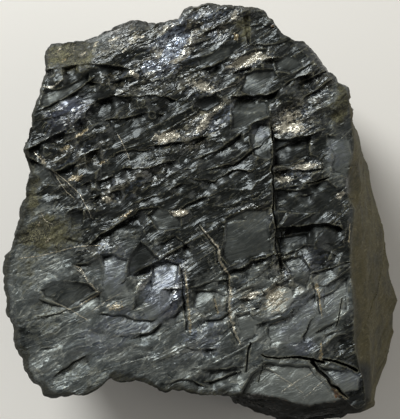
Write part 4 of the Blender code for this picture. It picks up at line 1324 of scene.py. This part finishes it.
def olive_colour(pattern):
    """Crumbly olive stain on peat brown, with a paler crust in patches and painted shade between the
    crumbs.
    """
    stained = frayed(pattern.speck.ramp(0.35, 0.65), pattern.slab_tone, 0.3)
    crust = pattern.grain.ramp(0.46, 0.62) * pattern.patch.ramp(0.42, 0.6, 0.15, 0.8)
    stain = crust.mix(stained.mix(PEAT_AND_SHADE, OLIVE), CRUST)
    # Painted shade: peat brown in the crevices between the crumbs.
    return pattern.crumbs.ramp(0.1, 0.42, 0.0, 0.5).mix(stain, PEAT_AND_SHADE)


def joint_colour(pattern):
    """Olive brown of the clean joint face, with paler flecks, peat patches and dark streaks."""
    flecks = pattern.warped.cells(1.2, 1.2, 7.0).noise(1.0, 4.0, 0.7)
    flecks = flecks.ramp(0.54, 0.68, 0.0, 0.75) * pattern.ragged.ramp(0.38, 0.56)
    colour = flecks.mix(JOINT, JOINT_FLECK)
    colour = (pattern.hairs * 0.35).mix(colour, JOINT_FLECK)
    colour = pattern.patch.ramp(0.55, 0.35, 0.0, 0.55).mix(colour, PEAT_AND_SHADE)
    return pattern.streak.ramp(0.5, 0.75, 0.0, 0.5).mix(colour, CHARCOAL)


def coal_colour(tree, pattern, mask):
    """The bare coal, and over it the stains, the joint face, painted shade on undercut and rim, the
    films.
    """
    colour = worn_and_painted_light_colour(pattern, mask, bare_colour(pattern, mask))
    colour = mask.olive.mix(colour, olive_colour(pattern))
    colour = mask.joint.mix(colour, joint_colour(pattern))
    # Painted shade on the undercut and along the upper left edge, peat brown with rust specks.
    colour = mask.under.mix(colour, pattern.speck.ramp(0.52, 0.7, 0.0, 0.3).mix(PEAT_AND_SHADE, RUST))
    # Painted shade round the rim, peat brown to olive.
    border = pattern.speck.ramp(0.45, 0.7, 0.0, 0.4).mix(PEAT_AND_SHADE, OLIVE)
    colour = (mask.rim * 0.9).mix(colour, border)
    colour = mask.rust.mix(colour, RUST)
    return mask.film.mix(colour, film_colour(tree, pattern, mask))


def coal_metal(mask):
    """The metallic lustre of bare coal and of films, lost under stains and painted shade, and in
    creases.
    """
    metal = largest(mask.sheen * 0.6, mask.dull * 0.5) * mask.pane.ramp(0, 1, 1, 0.4)
    pane = mask.pane * mask.pane_tone.ramp(0.0, 0.6, 0.12, 0.5)
    metal = largest(metal, pane, mask.glint)
    metal = metal * largest(mask.covered, mask.dark).ramp(0, 1, 1, 0)
    return largest(metal, mask.film * 0.45) * mask.crease.ramp(0, 1, 1, 0.3)


def coal_roughness(pattern, mask):
    """Smoothest on glossy coal, rougher on dull coal and panes, roughest on stains and painted shade.
    """
    rough = pattern.patch.ramp(0.35, 0.65, 0.21, 0.31)
    rough = rough + pattern.streak.ramp(0.3, 0.7, -0.04, 0.06)
    rough = rough + pattern.striae.ramp(0.35, 0.65, -0.04, 0.08)
    rough = rough + mask.dull * 0.11 - mask.gloss * 0.12
    rough = rough + largest(mask.olive, mask.dark) * 0.25 + mask.covered * 0.22
    rough = rough + largest(mask.under, mask.joint) * 0.3
    return largest(rough, mask.pane * 0.38)


def coal_shine(pattern, mask):
    """Weight of the glassy coat on bright coal and on films."""
    shine = mask.gloss * 0.5 + mask.lively * mask.on_face.ramp(0, 1, 0.5, 0.1)
    matt = largest(mask.dull, mask.pane, mask.covered)
    shine = shine * matt.ramp(0, 1, 1, 0.3) * pattern.streak.ramp(0.4, 0.62, 0.25, 1.0)
    hollow = largest(mask.crease, mask.dark)
    return largest(shine, mask.film * 0.8) * hollow.ramp(0, 1, 1, 0.15)


def coal_facets(tree, pattern, mask):
    """The way the coal faces, shattered into ever smaller facets."""
    normal = add_node(tree, "ShaderNodeNewGeometry", "Normal")
    # The undercut edge and the chipped rim are made of tiny treads that face up.
    raised = largest(mask.under * 2.0, mask.rim * 0.5)
    normal = normal.vector("ADD", add_node(tree, "ShaderNodeCombineXYZ", Z=raised))
    tilt = mask.lively.ramp(0.0, 1.3, 0.08, 0.5)
    tilt = tilt * largest(mask.dark, mask.spark).ramp(0, 1, 1, 0.4)
    broad = mask.dull * mask.on_face * mask.pane.ramp(0, 1, 0.38, 0.14)
    fine = largest(tilt, broad * 0.9)
    broad = largest(broad, mask.gloss * 0.14 + mask.spark * 0.55)
    normal = shattered(normal, pattern.slabs, broad)
    normal = shattered(normal, pattern.bent.cells(2.6, 0.9, 2.0), fine * 0.75)
    normal = shattered(normal, pattern.bent.cells(1.3, 0.45, 1.0), fine)
    return shattered(normal, pattern.bent.cells(0.65, 0.28, 0.6), tilt)


def coal_height(pattern, mask):
    """The finest relief, in millimetres."""
    height = (pattern.shards * 0.35 + pattern.chips * 0.12) * mask.lively
    height = height + pattern.striae * mask.dull.ramp(0, 1, 0.1, 0.12)
    coarse = largest(mask.dull, mask.olive) + mask.film + mask.rim
    height = height + pattern.grain * (coarse * 0.06)
    return height - mask.scratched * 0.05 - pattern.crumbs * 0.35 * mask.olive


def coal_material():
    """The one material of the lump: coal with its stains and films."""
    material = bpy.data.materials.new("coal")
    material.use_nodes = True
    tree = material.node_tree
    shader = tree.nodes["Principled BSDF"]
    pattern = coal_patterns(tree)
    mask = coal_masks(tree, pattern)
    normal = add_node(
        tree, "ShaderNodeBump", Height=coal_height(pattern, mask),
        Normal=coal_facets(tree, pattern, mask), Strength=1.0, Distance=MM,
    )
    for name, shade in (
        ("Base Color", coal_colour(tree, pattern, mask)),
        ("Metallic", coal_metal(mask)),
        ("Roughness", coal_roughness(pattern, mask)),
        ("Coat Weight", coal_shine(pattern, mask)),
        ("Normal", normal),
        ("Coat Normal", normal),
    ):
        tree.links.new(shade.socket, shader.inputs[name])
    shader.inputs["IOR"].default_value = 1.45
    shader.inputs["Specular Tint"].default_value = (0.86, 0.95, 1.0, 1)
    shader.inputs["Coat Roughness"].default_value = 0.16
    shader.inputs["Coat IOR"].default_value = 1.9
    return material


def floor_material():
    """Plain pale matt support."""
    material = bpy.data.materials.new("floor")
    material.use_nodes = True
    shader = material.node_tree.nodes["Principled BSDF"]
    shader.inputs["Base Color"].default_value = (0.82, 0.81, 0.79, 1)
    shader.inputs["Roughness"].default_value = 0.7
    return material


def build_lump(cad_box):
    """The lump, placed over the solid model, and how far that moved it in millimetres."""
    points, faces, fan = broken_block()
    middle = (points.min(0) + points.max(0)) / 2
    cad_middle = (cad_box[0] + cad_box[1]) / 2 / MM
    shift = np.array([cad_middle.x - middle[0], cad_middle.y - middle[1], 0.0])
    piece = thinned(mesh_of("lump", points + shift, faces, fan), "lump", (GRID_STEPS + 1) ** 2)
    piece.data.shade_smooth()
    piece.data.set_sharp_from_angle(angle=math.radians(SHARP_ANGLE))
    places, normals = points_and_normals(piece.data)
    paint(piece.data, places - shift, normals)
    piece.data.materials.clear()
    piece.data.materials.append(coal_material())
    return piece, shift


def add_floor():
    """A level support, just below the foot of the lump."""
    half = FLOOR_WIDTH / 2
    corners = [(-half, -half, 0), (half, -half, 0), (half, half, 0), (-half, half, 0)]
    mesh = bpy.data.meshes.new("floor")
    mesh.from_pydata(corners, [], [(0, 1, 2, 3)])
    mesh.materials.append(floor_material())
    floor = bpy.data.objects.new("floor", mesh)
    floor.location.z = -FLOOR_GAP
    bpy.context.scene.collection.objects.link(floor)


def add_lamp(name, place, size, power, colour):
    """A round soft lamp that points at the lump."""
    light = bpy.data.lights.new(name, "AREA")
    light.shape = "DISK"
    light.size = size
    light.energy = power
    light.color = colour
    lamp = bpy.data.objects.new(name, light)
    lamp.location = place
    lamp.rotation_euler = (LAMP_TARGET - Vector(place)).to_track_quat("-Z", "Y").to_euler()
    bpy.context.scene.collection.objects.link(lamp)


def add_room():
    """A room with pale sides and a dark ceiling, lighter towards the back left."""
    world = bpy.data.worlds.new("studio")
    world.use_nodes = True
    tree = world.node_tree
    direction = add_node(tree, "ShaderNodeTexCoord", "Generated")
    x, y, z = (add_node(tree, "ShaderNodeSeparateXYZ", axis, Vector=direction) for axis in "XYZ")
    level = z.ramp(0.15, 0.85, ROOM_SIDES, ROOM_ABOVE)
    level = level * (y - x * 0.6).ramp(-1.1, 1.1, 0.3, 1.35)
    background = tree.nodes["Background"]
    background.inputs["Color"].default_value = (1.0, 0.975, 0.92, 1)
    tree.links.new(level.socket, background.inputs["Strength"])
    bpy.context.scene.world = world


def add_camera(shift):
    """Looks straight down on the fracture face from far enough off for a nearly flat view."""
    data = bpy.data.cameras.new("camera")
    data.sensor_fit = "HORIZONTAL"
    data.sensor_width = 36.0
    data.lens = data.sensor_width * CAMERA_DISTANCE / VIEW_WIDTH
    camera = bpy.data.objects.new("camera", data)
    x, y = shift[0] + VIEW_MIDDLE[0], shift[1] + VIEW_MIDDLE[1]
    camera.location = Vector((x, y, FACE_HEIGHT + CAMERA_DISTANCE)) * MM
    bpy.context.scene.collection.objects.link(camera)
    bpy.context.scene.camera = camera


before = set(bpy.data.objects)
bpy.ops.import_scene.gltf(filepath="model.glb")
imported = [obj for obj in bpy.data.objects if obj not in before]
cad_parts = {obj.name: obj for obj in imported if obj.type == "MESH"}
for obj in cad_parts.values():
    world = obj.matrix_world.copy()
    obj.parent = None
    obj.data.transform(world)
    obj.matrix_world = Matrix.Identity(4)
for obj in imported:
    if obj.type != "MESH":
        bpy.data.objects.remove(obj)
cad_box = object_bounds()

lump, lump_shift = build_lump(cad_box)
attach(lump, "root")
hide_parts(NODE_NAME)

add_floor()
for lamp in LAMPS:
    add_lamp(*lamp)
add_room()
add_camera(lump_shift)
bpy.context.scene.view_settings.view_transform = "Standard"
